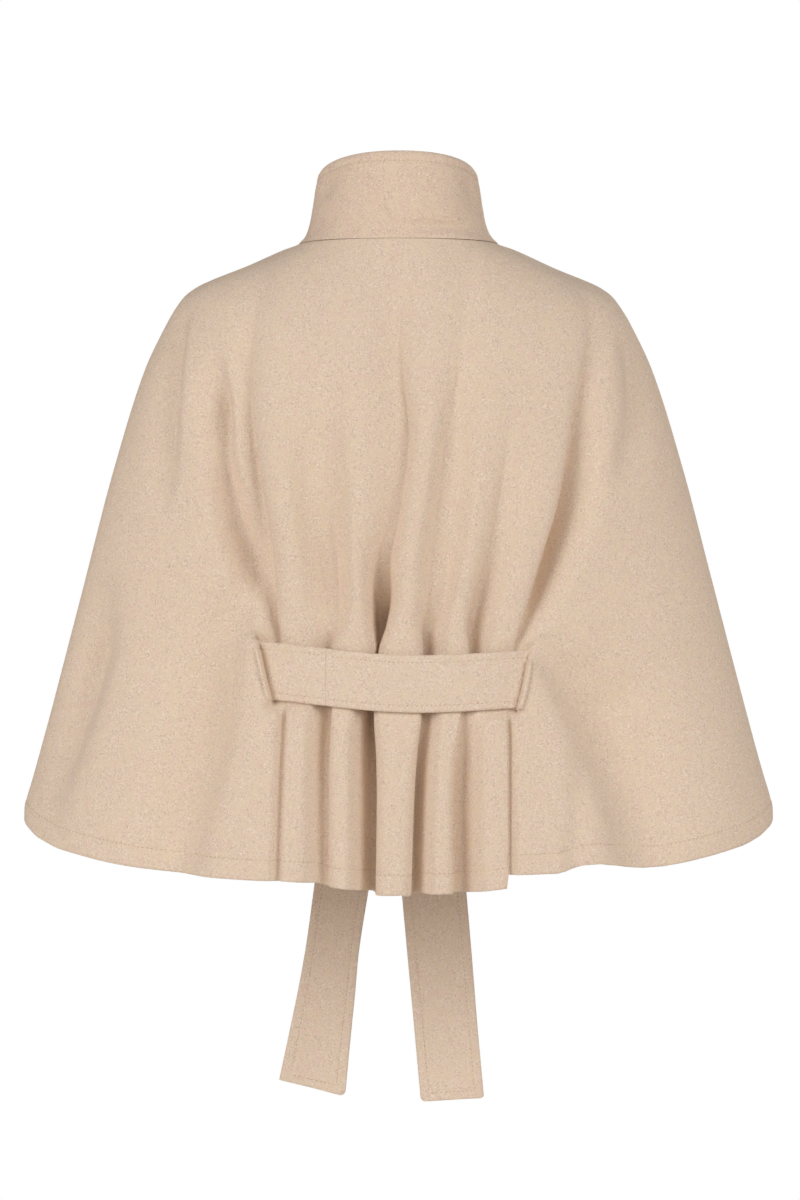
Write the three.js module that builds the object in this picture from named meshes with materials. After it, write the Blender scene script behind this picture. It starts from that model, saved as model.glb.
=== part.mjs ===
// Wool cape: a hip-length cape with a standing collar. A tie belt passes through four slots, draws
// the back into five pleats and is knotted over the lapped fronts.
// Millimetres, +Z up, +Y towards the wearer's front, +X towards the wearer's right.
// The origin is the middle of the neck opening, level with the collar seam at the shoulders.

import * as THREE from "three";

// Cloth walls and the gaps between sewn pieces
const CLOTH = 2.4;
const COLLAR_CLOTH = 4.4;
const BELT_CLOTH = 4;
const WELT_CLOTH = 1.6;
const SEAM_GAP = 0.3;
const BELT_GAP = 0.5;

// How square the cape's level sections are: 2 is an ellipse
const ROUNDNESS = 2.2;

// The fronts lap: each reaches this far past the middle, the wearer's right one on top
const LAP = 34;
const LAP_EASE = 40;
const LAP_FLAT = 6;

// Belt: its width, and the loop it makes round the waist seen from above
const BELT_WIDTH = 54;
const BELT_HALF_WIDTH_X = 165;
const BELT_BACK_Y = 118;
const BELT_FRONT_Y = 127.5;
const BELT_SQUARENESS = 3;
const BELT_Z = -417;
const BELT_BACK_SAG = 8.5;
const BELT_SAG_REACH = 150;
const BELT_TILT = 0.038;
const BELT_JOIN_X = -72;
const BELT_STEP = THREE.MathUtils.degToRad(6);

// The belt presses the cloth in this far past its edges, and the cloth comes out again within the fade
const PRESS = { past: 5, fade: 22 };

// The belt's tilt draws the back with it about this height down, dying away from there and to the sides
const TILT = { down: 0.685, reach: 0.25, flatX: 130, fadeX: 120 };

// Slots for the belt: how wide each gapes, how clear of the folds it stays, and the lip sewn along
// its outer edge
const SLOT_GAPE = 7;
const SLOT_CLEARANCE = 1;
const LIP_WIDTH = 6;

// Knot at the middle of the front
const KNOT_HALF_WIDTH = 24;
const KNOT_BACK_Y = 125.2;

// Level sections, from the neck seam down to the hem. halfWidth and sideZ give the outline seen from
// the back, backY and backZ the profile at centre back, frontY and frontZ the one at centre front.
const SECTIONS = [
  { down: 0, halfWidth: 97, sideZ: 0, backY: -72, backZ: -3, frontY: 76, frontZ: -45 },
  { down: 0.031, halfWidth: 114, sideZ: -9, backY: -79.5, backZ: -21, frontY: 84, frontZ: -61 },
  { down: 0.092, halfWidth: 151, sideZ: -25.5, backY: -93, backZ: -57, frontY: 98, frontZ: -94 },
  { down: 0.153, halfWidth: 189, sideZ: -41, backY: -103.5, backZ: -93.5, frontY: 110, frontZ: -128 },
  { down: 0.175, halfWidth: 203.5, sideZ: -47.5, backY: -107, backZ: -107, frontY: 114, frontZ: -140 },
  { down: 0.192, halfWidth: 210.5, sideZ: -55.5, backY: -109, backZ: -117.5, frontY: 117, frontZ: -150 },
  { down: 0.23, halfWidth: 224.5, sideZ: -79, backY: -113, backZ: -140.5, frontY: 122.5, frontZ: -172 },
  { down: 0.307, halfWidth: 247, sideZ: -127, backY: -117.5, backZ: -189, frontY: 130, frontZ: -217 },
  { down: 0.46, halfWidth: 276, sideZ: -221, backY: -117, backZ: -285, frontY: 130, frontZ: -307 },
  { down: 0.613, halfWidth: 301, sideZ: -317, backY: -114.5, backZ: -381, frontY: 122, frontZ: -397 },
  { down: 0.69, halfWidth: 313.5, sideZ: -365, backY: -115, backZ: -429, frontY: 120, frontZ: -442 },
  { down: 0.767, halfWidth: 326, sideZ: -413, backY: -121, backZ: -478, frontY: 124, frontZ: -487 },
  { down: 0.92, halfWidth: 352.5, sideZ: -510, backY: -140, backZ: -571, frontY: 139, frontZ: -576 },
  { down: 0.97, halfWidth: 361, sideZ: -542, backY: -147, backZ: -601, frontY: 145, frontZ: -603 },
  { down: 1, halfWidth: 362, sideZ: -561, backY: -151, backZ: -619, frontY: 148, frontZ: -620 },
];

// Fold valleys on the back, from the wearer's left to right: x of each at seven heights, and how deep
// it is below the smooth cape at the same heights. crest is the place of the ridge before the next
// valley, as a share of the way there. The pinch makes the valleys narrower than the ridges.
const FOLD_PINCH = 0.75;
const FOLD_HEIGHTS = { neck: 0, shoulder: 0.19, blade: 0.307, chest: 0.46, belt: 0.642, under: 0.75, hem: 1 };
const BACK_FOLDS = [
  { name: "left", crest: 0.35,
    x: { neck: -116, shoulder: -128, blade: -138, chest: -126, belt: -112, under: -108, hem: -112 },
    depth: { neck: 0, shoulder: 0, blade: 4, chest: 12, belt: 14, under: 9, hem: 8 } },
  { name: "outer left", crest: 0.34,
    x: { neck: -60, shoulder: -70, blade: -77, chest: -68, belt: -62, under: -68, hem: -69 },
    depth: { neck: 0, shoulder: 0, blade: 1, chest: 5, belt: 14, under: 22, hem: 20 } },
  { name: "centre left", crest: 0.5,
    x: { neck: 0, shoulder: 2, blade: 9, chest: -8, belt: -21, under: -26, hem: -25 },
    depth: { neck: 0, shoulder: 1, blade: 5, chest: 12, belt: 32, under: 33, hem: 30 } },
  { name: "centre right", crest: 0.64,
    x: { neck: 40, shoulder: 60, blade: 49, chest: 36, belt: 27, under: 23, hem: 15 },
    depth: { neck: 0, shoulder: 2, blade: 6, chest: 9, belt: 24, under: 30, hem: 28 } },
  { name: "outer right", crest: 0.6,
    x: { neck: 80, shoulder: 112, blade: 109, chest: 92, belt: 69, under: 63, hem: 61 },
    depth: { neck: 0, shoulder: 0, blade: 1, chest: 8, belt: 20, under: 20, hem: 20 } },
  { name: "right", crest: 0.5,
    x: { neck: 116, shoulder: 172, blade: 165, chest: 148, belt: 108, under: 103, hem: 104 },
    depth: { neck: 0, shoulder: 1, blade: 10, chest: 19, belt: 14, under: 9, hem: 8 } },
];
// How far the two outermost back folds take to die away towards the sides
const BACK_FOLD_REACH = { neck: 60, shoulder: 50, blade: 60, chest: 70, belt: 20, under: 15, hem: 16 };

// Fold valleys on each front, from the lap outwards, mirrored on the other side
const FRONT_FOLDS = [
  { name: "inner", crest: 0.5,
    x: { neck: 60, shoulder: 58, blade: 60, chest: 60, belt: 58, under: 58, hem: 66 },
    depth: { neck: 0, shoulder: 0, blade: 0, chest: 4, belt: 13, under: 14, hem: 12 } },
  { name: "middle", crest: 0.55,
    x: { neck: 84, shoulder: 92, blade: 96, chest: 92, belt: 85, under: 86, hem: 104 },
    depth: { neck: 0, shoulder: 0, blade: 1, chest: 6, belt: 13, under: 12, hem: 10 } },
  { name: "outer", crest: 0.5,
    x: { neck: 108, shoulder: 136, blade: 138, chest: 126, belt: 110, under: 112, hem: 140 },
    depth: { neck: 0, shoulder: 1, blade: 5, chest: 10, belt: 10, under: 8, hem: 6 } },
];
const FRONT_FOLD_REACH = { neck: 40, shoulder: 50, blade: 60, chest: 60, belt: 20, under: 24, hem: 40 };

// Soft troughs that run down the sides of the back from the slots and the shoulders
const BACK_TROUGHS = [
  { name: "right hem", fromX: 140, fromZ: -400, toX: 214, toZ: -600, depth: 11, width: 26 },
  { name: "left hem", fromX: -150, fromZ: -420, toX: -188, toZ: -590, depth: 6, width: 30 },
  { name: "left blade", fromX: -165, fromZ: -140, toX: -150, toZ: -300, depth: 6, width: 16 },
];

// How far the hem of the back rises above the smooth section at its foot, from left to right
const HEM_START = 0.74;
const BACK_HEM = [
  { x: -362, rise: 0 },
  { x: -346, rise: -6 },
  { x: -325, rise: -9.5 },
  { x: -281, rise: -7 },
  { x: -224, rise: -2 },
  { x: -149, rise: 3 },
  { x: -104, rise: 7 },
  { x: -70, rise: 5 },
  { x: -26, rise: 1 },
  { x: -2, rise: -5 },
  { x: 40, rise: -1 },
  { x: 98, rise: 0 },
  { x: 112, rise: 11.5 },
  { x: 142, rise: 9 },
  { x: 185, rise: 11 },
  { x: 228, rise: -2 },
  { x: 270, rise: -7 },
  { x: 330, rise: -7.5 },
  { x: 362, rise: 0 },
];

// Slots: middle of each at its top and bottom, seen from the back. The rows give its length down.
const BACK_SLOTS = [
  { name: "left", topX: -125, bottomX: -113 },
  { name: "right", topX: 121, bottomX: 111.5 },
];
const BACK_SLOT_ROWS = { top: 0.638, bottom: 0.734 };
const FRONT_SLOT = { topX: 120, bottomX: 120 };
const FRONT_SLOT_ROWS = { top: 0.61, bottom: 0.717 };

// Collar: half width, and how far its back and front stand from the origin, from the seam to the rim
const COLLAR_ROWS = [
  { up: 0, halfWidth: 97, backY: -72, frontY: 76 },
  { up: 0.1, halfWidth: 91, backY: -70.5, frontY: 76 },
  { up: 0.28, halfWidth: 86, backY: -69.5, frontY: 78 },
  { up: 0.55, halfWidth: 82.5, backY: -69, frontY: 81 },
  { up: 0.8, halfWidth: 80, backY: -68, frontY: 83 },
  { up: 1, halfWidth: 77.5, backY: -66, frontY: 83 },
];
const RIM_BACK_Z = 81;
const RIM_SLOPE = 0.287;

// Knot: half width and how far it bulges at each height about its middle
const KNOT_ROWS = [
  { up: 33, halfWidth: 15, bulge: 6 },
  { up: 28.5, halfWidth: KNOT_HALF_WIDTH, bulge: 13 },
  { up: 14, halfWidth: KNOT_HALF_WIDTH, bulge: 19 },
  { up: -4, halfWidth: KNOT_HALF_WIDTH, bulge: 21 },
  { up: -18, halfWidth: KNOT_HALF_WIDTH, bulge: 18 },
  { up: -28.5, halfWidth: KNOT_HALF_WIDTH, bulge: 13 },
  { up: -33, halfWidth: 19, bulge: 7 },
];
const KNOT_POINTS = 14;

// Free belt ends: middle line and width at each drop below the knot, and how much the end slants
const TAIL_TOP_Z = -450.6;
const TAILS = [
  { name: "left", endSlant: 15, rows: [
    { drop: 0, x: -24, y: 130, width: 42 },
    { drop: 50, x: -34, y: 136, width: 50 },
    { drop: 110, x: -44.5, y: 145.5, width: 54 },
    { drop: 170, x: -55, y: 155.5, width: 55 },
    { drop: 245, x: -66.3, y: 158, width: 53 },
    { drop: 291, x: -72.4, y: 157.5, width: 56.5 },
    { drop: 337, x: -79.4, y: 156.5, width: 61 },
    { drop: 390, x: -87.5, y: 155, width: 67 },
  ] },
  { name: "right", endSlant: -2, rows: [
    { drop: 0, x: 20.5, y: 130, width: 42 },
    { drop: 50, x: 25, y: 136, width: 52 },
    { drop: 110, x: 29, y: 145.5, width: 62 },
    { drop: 170, x: 34, y: 155.5, width: 65 },
    { drop: 250, x: 41, y: 157, width: 65 },
    { drop: 330, x: 48, y: 156, width: 64 },
    { drop: 402, x: 54.5, y: 154.5, width: 64 },
  ] },
];
const TAIL_ACROSS = 4;
const TAIL_DOWN = 16;

// Brushed beige wool, a little darker where it is doubled
const WOOL = { body: 0xdec8b2, collar: 0xd9c0ab, belt: 0xdbc7b2, tail: 0xd1baa7 };
const WOOL_ROUGHNESS = 0.95;

// Smooth step from 0 to 1
function ease(t) {
  const s = THREE.MathUtils.clamp(t, 0, 1);
  return s * s * (3 - 2 * s);
}

// Value of one column of a table at a place along its first column, on a smooth curve
function along(table, place, at, column) {
  let i = 1;
  while (i < table.length - 1 && table[i][place] < at) i += 1;
  const [a, b] = [table[i - 1], table[i]];
  const before = table[i - 2] ?? a;
  const after = table[i + 1] ?? b;
  const span = b[place] - a[place];
  const t = (at - a[place]) / span;
  const slopeA = ((b[column] - before[column]) / (b[place] - before[place])) * span;
  const slopeB = ((after[column] - a[column]) / (after[place] - a[place])) * span;
  const bend = 2 * (a[column] - b[column]) + slopeA + slopeB;
  const curve = 3 * (b[column] - a[column]) - 2 * slopeA - slopeB;
  return ((bend * t + curve) * t + slopeA) * t + a[column];
}

// A fold's or a reach's value part of the way down, from its values at the named heights
const HEIGHT_NAMES = Object.keys(FOLD_HEIGHTS);
function atHeight(values, down) {
  const table = HEIGHT_NAMES.map((name) => ({ down: FOLD_HEIGHTS[name], value: values[name] }));
  return along(table, "down", down, "value");
}

// One level section of the smooth cape
function sectionAt(down) {
  const section = {};
  for (const column of Object.keys(SECTIONS[0])) section[column] = along(SECTIONS, "down", down, column);
  return section;
}

// Angle from centre back or centre front to a place x on a section
function angleTo(section, x) {
  const share = Math.min(1, Math.abs(x) / section.halfWidth);
  return Math.sign(x) * Math.asin(share ** (ROUNDNESS / 2));
}

// Point of the smooth cape at an angle from centre back or centre front
function smoothPoint(down, angle, isFront) {
  const s = sectionAt(down);
  const across = Math.abs(Math.sin(angle)) ** (2 / ROUNDNESS);
  const depth = Math.abs(Math.cos(angle)) ** (2 / ROUNDNESS);
  const endZ = isFront ? s.frontZ : s.backZ;
  return new THREE.Vector3(
    Math.sign(angle) * s.halfWidth * across,
    (isFront ? s.frontY : s.backY) * depth,
    s.sideZ + (endZ - s.sideZ) * Math.cos(angle) ** 2,
  );
}

// Direction out of the smooth cape
function smoothNormal(down, angle, isFront) {
  const step = 0.004;
  const here = Math.min(Math.max(down, step), 1 - step);
  const across = smoothPoint(here, angle + step, isFront).sub(smoothPoint(here, angle - step, isFront));
  const below = smoothPoint(here + step, angle, isFront).sub(smoothPoint(here - step, angle, isFront));
  return below.cross(across).multiplyScalar(isFront ? -1 : 1).normalize();
}

// How far a place lies below the smooth cape in a row of folds, sorted by x. Past the first and the
// last fold the cloth comes up again within the given reaches.
function foldDepth(folds, x, reachBefore, reachAfter) {
  const rise = (depth, share) => depth * (1 - ease(Math.min(1, share) ** FOLD_PINCH));
  const first = folds[0];
  const last = folds[folds.length - 1];
  if (x <= first.x) return rise(first.depth, (first.x - x) / reachBefore);
  if (x >= last.x) return rise(last.depth, (x - last.x) / reachAfter);
  const i = folds.findIndex((fold) => fold.x > x);
  const [a, b] = [folds[i - 1], folds[i]];
  const ridge = a.x + (b.x - a.x) * a.crest;
  return x < ridge ? rise(a.depth, (x - a.x) / (ridge - a.x)) : rise(b.depth, (b.x - x) / (b.x - ridge));
}

// The folds of a table at one height
function foldsAt(table, down) {
  return table.map(({ crest, x, depth }) => {
    return { crest, x: atHeight(x, down), depth: atHeight(depth, down) };
  });
}

// Depth of the soft troughs at a place on the back
function troughDepth(x, z) {
  let depth = 0;
  for (const t of BACK_TROUGHS) {
    const run = new THREE.Vector2(t.toX - t.fromX, t.toZ - t.fromZ);
    const place = new THREE.Vector2(x - t.fromX, z - t.fromZ);
    const share = place.dot(run) / run.lengthSq();
    const aside = place.cross(run) / run.length();
    const fade = ease(share * 4 + 0.4) * ease((1.25 - share) * 4);
    depth += t.depth * fade * Math.exp(-((aside / t.width) ** 2));
  }
  return depth;
}

// The belt's middle line at an angle round the waist, 0 at centre back and positive to the right
function beltPoint(angle) {
  const depth = Math.cos(angle) > 0 ? BELT_BACK_Y : BELT_FRONT_Y;
  const radius =
    (Math.abs(Math.sin(angle) / BELT_HALF_WIDTH_X) ** BELT_SQUARENESS +
      Math.abs(Math.cos(angle) / depth) ** BELT_SQUARENESS) ** (-1 / BELT_SQUARENESS);
  const x = radius * Math.sin(angle);
  const reach = Math.cos(angle) > 0 ? Math.min(1, Math.abs(x) / BELT_SAG_REACH) : 1;
  const sag = BELT_BACK_SAG * Math.cos((reach * Math.PI) / 2) ** 2;
  const tilt = BELT_TILT * x * (0.5 + Math.cos(angle) / 2);
  return new THREE.Vector3(x, -radius * Math.cos(angle), BELT_Z - sag - tilt);
}

// Where the belt's face next to the cape lies, at a place x on the back or front
function beltFaceY(x, isFront) {
  const depth = isFront ? BELT_FRONT_Y : BELT_BACK_Y;
  const share = Math.min(1, Math.abs(x) / BELT_HALF_WIDTH_X) ** BELT_SQUARENESS;
  const y = depth * (1 - share) ** (1 / BELT_SQUARENESS);
  const steepness = (Math.abs(x) / BELT_HALF_WIDTH_X) ** 2 * (depth / BELT_HALF_WIDTH_X);
  const slope = steepness * Math.max(0.05, 1 - share) ** (1 / BELT_SQUARENESS - 1);
  return y - (BELT_CLOTH / 2) * Math.hypot(1, slope) - BELT_GAP;
}

// Presses the cloth between the slots in under the belt, leaving room for a layer on top of it
function pressUnderBelt(point, slotX, isFront, room = 0) {
  const out = isFront ? 1 : -1;
  const belt = beltPoint(Math.atan2(point.x, isFront ? -BELT_FRONT_Y : BELT_BACK_Y));
  const above = Math.abs(point.z - belt.z) - BELT_WIDTH / 2;
  const under = 1 - ease((above - PRESS.past) / PRESS.fade);
  const inside = 1 - ease((Math.abs(point.x) - slotX) / SLOT_GAPE);
  const proud = out * point.y - beltFaceY(point.x, isFront) + room;
  if (proud > 0) point.y -= out * proud * under * inside;
}

// Where a slot's middle lies at a height, clear of its ends on the same slant
function slotX(slot, rows, down) {
  const share = THREE.MathUtils.clamp((down - rows.top) / (rows.bottom - rows.top), -0.4, 1.4);
  return slot.topX + (slot.bottomX - slot.topX) * share;
}

// Outer point of the back
function backPoint(down, angle) {
  const point = smoothPoint(down, angle, false);
  const reach = atHeight(BACK_FOLD_REACH, down);
  const depth = foldDepth(foldsAt(BACK_FOLDS, down), point.x, reach, reach) + troughDepth(point.x, point.z);
  point.addScaledVector(smoothNormal(down, angle, false), -depth);
  const level = ease(1 - Math.abs(down - TILT.down) / TILT.reach);
  const aside = 1 - ease((Math.abs(point.x) - TILT.flatX) / TILT.fadeX);
  point.z -= BELT_TILT * point.x * level * aside;
  point.z += along(BACK_HEM, "x", point.x, "rise") * ease((down - HEM_START) / (1 - HEM_START));
  const slot = BACK_SLOTS[point.x < 0 ? 0 : 1];
  pressUnderBelt(point, Math.abs(slotX(slot, BACK_SLOT_ROWS, down)) - SLOT_GAPE / 2, false);
  return point;
}

// Outer point of a front. side is 1 for the wearer's right front, which lies on top in the lap.
function frontPoint(down, angle, side) {
  const point = smoothPoint(down, angle, true);
  const normal = smoothNormal(down, angle, true);
  const reach = atHeight(FRONT_FOLD_REACH, down);
  const inner = Math.max(8, atHeight(FRONT_FOLDS[0].x, down) - LAP - LAP_FLAT);
  const depth = point.x * side > 0 ? foldDepth(foldsAt(FRONT_FOLDS, down), point.x * side, inner, reach) : 0;
  point.addScaledVector(normal, -depth);
  const layer = (CLOTH + SEAM_GAP * 2) * lapShare(point.x * side);
  if (side > 0) point.addScaledVector(normal, layer);
  pressUnderBelt(point, FRONT_SLOT.topX - SLOT_GAPE / 2, true, side > 0 ? 0 : layer);
  return point;
}

// How fully a place on one front lies in the lap, dying away past the other front's edge
function lapShare(x) {
  return 1 - ease((x - LAP) / LAP_EASE);
}

// Directions out of rows of points, each row running to the right as seen from outside, with the
// rows from top to bottom. At flatEdges columns they stay in the plane of the side seams.
function normalsOf(rows, flatEdges = []) {
  const [height, width] = [rows.length, rows[0].length];
  const at = (r, c) => rows[Math.min(Math.max(r, 0), height - 1)][Math.min(Math.max(c, 0), width - 1)];
  return rows.map((row, r) =>
    row.map((_, c) => {
      const across = at(r, c + 1).clone().sub(at(r, c - 1));
      const normal = at(r + 1, c).clone().sub(at(r - 1, c)).cross(across);
      if (flatEdges.includes(c)) normal.y = 0;
      return normal.normalize();
    }),
  );
}

// The same rows moved along their normals
function moved(rows, normals, distance) {
  return rows.map((row, r) => row.map((point, c) => point.clone().addScaledVector(normals[r][c], distance)));
}

// Closed wall between rows of outer points and the same rows moved in. isCut leaves out cells.
function wall(outer, inner, isCut = () => false) {
  const [height, width] = [outer.length, outer[0].length];
  const points = [...outer.flat(), ...inner.flat()];
  const under = height * width;
  const faces = [];
  const kept = (r, c) => r >= 0 && c >= 0 && r < height - 1 && c < width - 1 && !isCut(r, c);
  for (let r = 0; r < height - 1; r += 1) {
    for (let c = 0; c < width - 1; c += 1) {
      if (!kept(r, c)) continue;
      const corner = [r * width + c, (r + 1) * width + c, (r + 1) * width + c + 1, r * width + c + 1];
      const [a, b, d, e] = corner;
      faces.push(a, b, d, a, d, e, a + under, d + under, b + under, a + under, e + under, d + under);
      const neighbours = [kept(r, c - 1), kept(r + 1, c), kept(r, c + 1), kept(r - 1, c)];
      neighbours.forEach((joined, side) => {
        if (joined) return;
        const [p, q] = [corner[side], corner[(side + 1) % 4]];
        faces.push(q, p, p + under, q, p + under, q + under);
      });
    }
  }
  return solid(points, faces);
}

// Geometry from points and the corners of its triangles, without the points that no face uses
function solid(points, faces) {
  const used = [...new Set(faces)].sort((a, b) => a - b);
  const place = new Map(used.map((old, index) => [old, index]));
  const geometry = new THREE.BufferGeometry().setFromPoints(used.map((old) => points[old]));
  geometry.setIndex(faces.map((old) => place.get(old)));
  geometry.computeVertexNormals();
  return geometry;
}

// Evenly spaced values from one end to the other, without the last
function spread(from, to, count) {
  return Array.from({ length: count }, (_, i) => from + ((to - from) * i) / count);
}

// Angles across a panel at one height: cells[i] cells between line i and line i + 1
function anglesBetween(lines, cells) {
  return [...cells.flatMap((count, i) => spread(lines[i], lines[i + 1], count)), lines[lines.length - 1]];
}

// Heights down a panel, closer together at the belt
function heightsDown(slotRows) {
  const middle = spread(slotRows.top, slotRows.bottom, 5);
  const above = [0, 0.035, 0.09, 0.14, 0.165, 0.19, 0.225, 0.28, 0.35, 0.42, 0.49, 0.545];
  const last = slotRows.top - 0.02;
  const below = spread(slotRows.bottom, 1, 8);
  return [...above.filter((down) => down < last - 0.03), last - 0.025, last, ...middle, ...below, 1];
}

const SIDE = Math.PI / 2;
const SEAM_CUT = SEAM_GAP / 2;

// Keeps a side edge just short of the seam, which lies in the plane y = 0
function trimSide(point, isFront) {
  point.y = isFront ? Math.max(point.y, SEAM_CUT) : Math.min(point.y, -SEAM_CUT);
  return point;
}

const cape = new THREE.Group();

function addPiece(name, color, geometry) {
  const material = new THREE.MeshStandardMaterial({ color, roughness: WOOL_ROUGHNESS, metalness: 0 });
  const mesh = new THREE.Mesh(geometry, material);
  mesh.name = name;
  cape.add(mesh);
}

// A panel with its slots, and a lip along the outer edge of each slot made from the panel's points
function addPanel(name, rows, heights, slotRows, flatEdges, slots) {
  const normals = normalsOf(rows, flatEdges);
  const inSlot = (r) => heights[r] > slotRows.top - 1e-6 && heights[r] < slotRows.bottom - 1e-6;
  const isCut = (r, c) => inSlot(r) && slots.some((slot) => slot.column === c);
  addPiece(name, WOOL.body, wall(rows, moved(rows, normals, -CLOTH), isCut));
  const first = heights.findIndex((down) => down > slotRows.top - 1e-6);
  const last = heights.findIndex((down) => down > slotRows.bottom - 1e-6);
  for (const slot of slots) {
    const cut = (grid) => grid.slice(first, last + 1).map((row) => row.slice(slot.lip, slot.lip + 2));
    const outer = moved(cut(rows), cut(normals), SEAM_GAP + WELT_CLOTH);
    addPiece(`slot_lip_${slot.name}`, WOOL.body, wall(outer, moved(cut(rows), cut(normals), SEAM_GAP)));
  }
}

// Back: cut in one piece from side seam to side seam, with a slot near each end of the pleats
{
  const heights = heightsDown(BACK_SLOT_ROWS);
  const cells = [9, 1, 1, 2, 6, 6, 6, 6, 6, 2, 1, 1, 9];
  const rows = heights.map((down) => {
    const section = sectionAt(down);
    const [left, right] = BACK_SLOTS.map((slot) => slotX(slot, BACK_SLOT_ROWS, down));
    const folds = foldsAt(BACK_FOLDS, down).map((fold) => fold.x);
    const room = Math.max(2 * SLOT_GAPE * ease(1 - down / BACK_SLOT_ROWS.top), SLOT_GAPE + SLOT_CLEARANCE);
    const outerLeft = Math.min(left - SLOT_GAPE / 2, folds[0] - room);
    const outerRight = Math.max(right + SLOT_GAPE / 2, folds[folds.length - 1] + room);
    const shrink = Math.min(1, (0.9 * section.halfWidth) / (Math.max(-outerLeft, outerRight) + LIP_WIDTH));
    const leftPlaces = [outerLeft - LIP_WIDTH, outerLeft, outerLeft + SLOT_GAPE];
    const rightPlaces = [outerRight - SLOT_GAPE, outerRight, outerRight + LIP_WIDTH];
    const places = [...leftPlaces, ...folds, ...rightPlaces];
    const lines = [-SIDE, ...places.map((x) => angleTo(section, x * shrink)), SIDE];
    return anglesBetween(lines, cells).map((angle) => trimSide(backPoint(down, angle), false));
  });
  const last = rows[0].length - 1;
  const slots = [
    { name: "back_left", column: cells[0] + 1, lip: cells[0] },
    { name: "back_right", column: last - cells[0] - 2, lip: last - cells[0] - 1 },
  ];
  addPanel("back", rows, heights, BACK_SLOT_ROWS, [0, last], slots);
}

// Fronts: one to each side, the wearer's right one lapped over the left one, each with a slot
for (const side of [1, -1]) {
  const heights = heightsDown(FRONT_SLOT_ROWS);
  const cells = [7, 1, 1, 1, 4, 5, 3, 4];
  const rows = heights.map((down) => {
    const section = sectionAt(down);
    const folds = foldsAt(FRONT_FOLDS, down).map((fold) => fold.x).reverse();
    const slot = Math.max(FRONT_SLOT.topX + SLOT_GAPE / 2, folds[0] + 2 * SLOT_GAPE);
    const shrink = Math.min(1, (0.9 * section.halfWidth) / (slot + LIP_WIDTH));
    const outer = [slot + LIP_WIDTH, slot, slot - SLOT_GAPE, ...folds].map((x) => x * shrink);
    const places = [...outer, Math.min(LAP + LAP_FLAT, outer[outer.length - 1] - LAP_FLAT), -LAP];
    const lines = [SIDE, ...places.map((x) => angleTo(section, x))].map((angle) => angle * side);
    const angles = anglesBetween(lines, cells);
    const ordered = side > 0 ? angles : angles.reverse();
    return ordered.map((angle) => trimSide(frontPoint(down, angle, side), true));
  });
  const last = rows[0].length - 1;
  const lip = side > 0 ? cells[0] : last - cells[0] - 1;
  const name = side > 0 ? "right" : "left";
  const slots = [{ name: `front_${name}`, column: lip + side, lip }];
  addPanel(`front_${name}`, rows, heights, FRONT_SLOT_ROWS, [side > 0 ? 0 : last], slots);
}

// Collar: one doubled piece standing from the neck seam, its ends lapped like the fronts
{
  const lapAngle = Math.asin((LAP / COLLAR_ROWS[0].halfWidth) ** (ROUNDNESS / 2));
  const ends = Math.PI + lapAngle;
  const columns = 54;
  const ups = [1, 0.86, 0.7, 0.55, 0.4, 0.25, 0.14, 0.06, 0];
  const neck = SECTIONS[0];
  const rim = COLLAR_ROWS[COLLAR_ROWS.length - 1];
  const rows = ups.map((up) =>
    [...spread(-ends, ends, columns), ends].map((angle) => {
      const isFront = Math.cos(angle) < 0;
      const across = Math.sign(Math.sin(angle)) * Math.abs(Math.sin(angle)) ** (2 / ROUNDNESS);
      const depth = Math.abs(Math.cos(angle)) ** (2 / ROUNDNESS);
      const x = along(COLLAR_ROWS, "up", up, "halfWidth") * across;
      const y = along(COLLAR_ROWS, "up", up, isFront ? "frontY" : "backY") * depth;
      const seamZ = neck.sideZ + ((isFront ? neck.frontZ : neck.backZ) - neck.sideZ) * Math.cos(angle) ** 2;
      const rimZ = RIM_BACK_Z - RIM_SLOPE * ((isFront ? rim.frontY : rim.backY) * depth - rim.backY);
      const lapped = isFront && angle > 0 ? lapShare(angle > Math.PI ? 0 : x) : 0;
      const z = seamZ + (rimZ - seamZ) * up + 2 * SEAM_GAP + 0.6 * CLOTH * lapped * (1 - up);
      const out = new THREE.Vector2(x / neck.halfWidth ** 2, y / neck.frontY ** 2).normalize();
      const lift = (COLLAR_CLOTH + 2 * SEAM_GAP) * lapped;
      return new THREE.Vector3(x + out.x * lift, y + out.y * lift, z);
    }),
  );
  addPiece("collar", WOOL.collar, wall(rows, moved(rows, normalsOf(rows), -COLLAR_CLOTH)));
}

// Belt: two strips pieced at the back, each going in through a back slot, round the waist inside
// and out again through a front slot to the knot
{
  const knotAngle = Math.PI - Math.atan2(KNOT_HALF_WIDTH + BELT_GAP, BELT_FRONT_Y);
  const joinAngle = Math.atan2(BELT_JOIN_X, BELT_BACK_Y);
  const joinGap = SEAM_GAP / 2 / BELT_BACK_Y;
  const strips = [
    { name: "belt_short", from: -knotAngle, to: joinAngle - joinGap },
    { name: "belt_long", from: joinAngle + joinGap, to: knotAngle },
  ];
  for (const strip of strips) {
    const count = Math.ceil((strip.to - strip.from) / BELT_STEP);
    const angles = [...spread(strip.from, strip.to, count), strip.to];
    const rows = [0.5, 0.17, -0.17, -0.5].map((share) =>
      angles.map((angle) => beltPoint(angle).add(new THREE.Vector3(0, 0, share * BELT_WIDTH))),
    );
    const normals = normalsOf(rows);
    const [outer, inner] = [BELT_CLOTH / 2, -BELT_CLOTH / 2].map((out) => moved(rows, normals, out));
    addPiece(strip.name, WOOL.belt, wall(outer, inner));
  }
}

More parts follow.
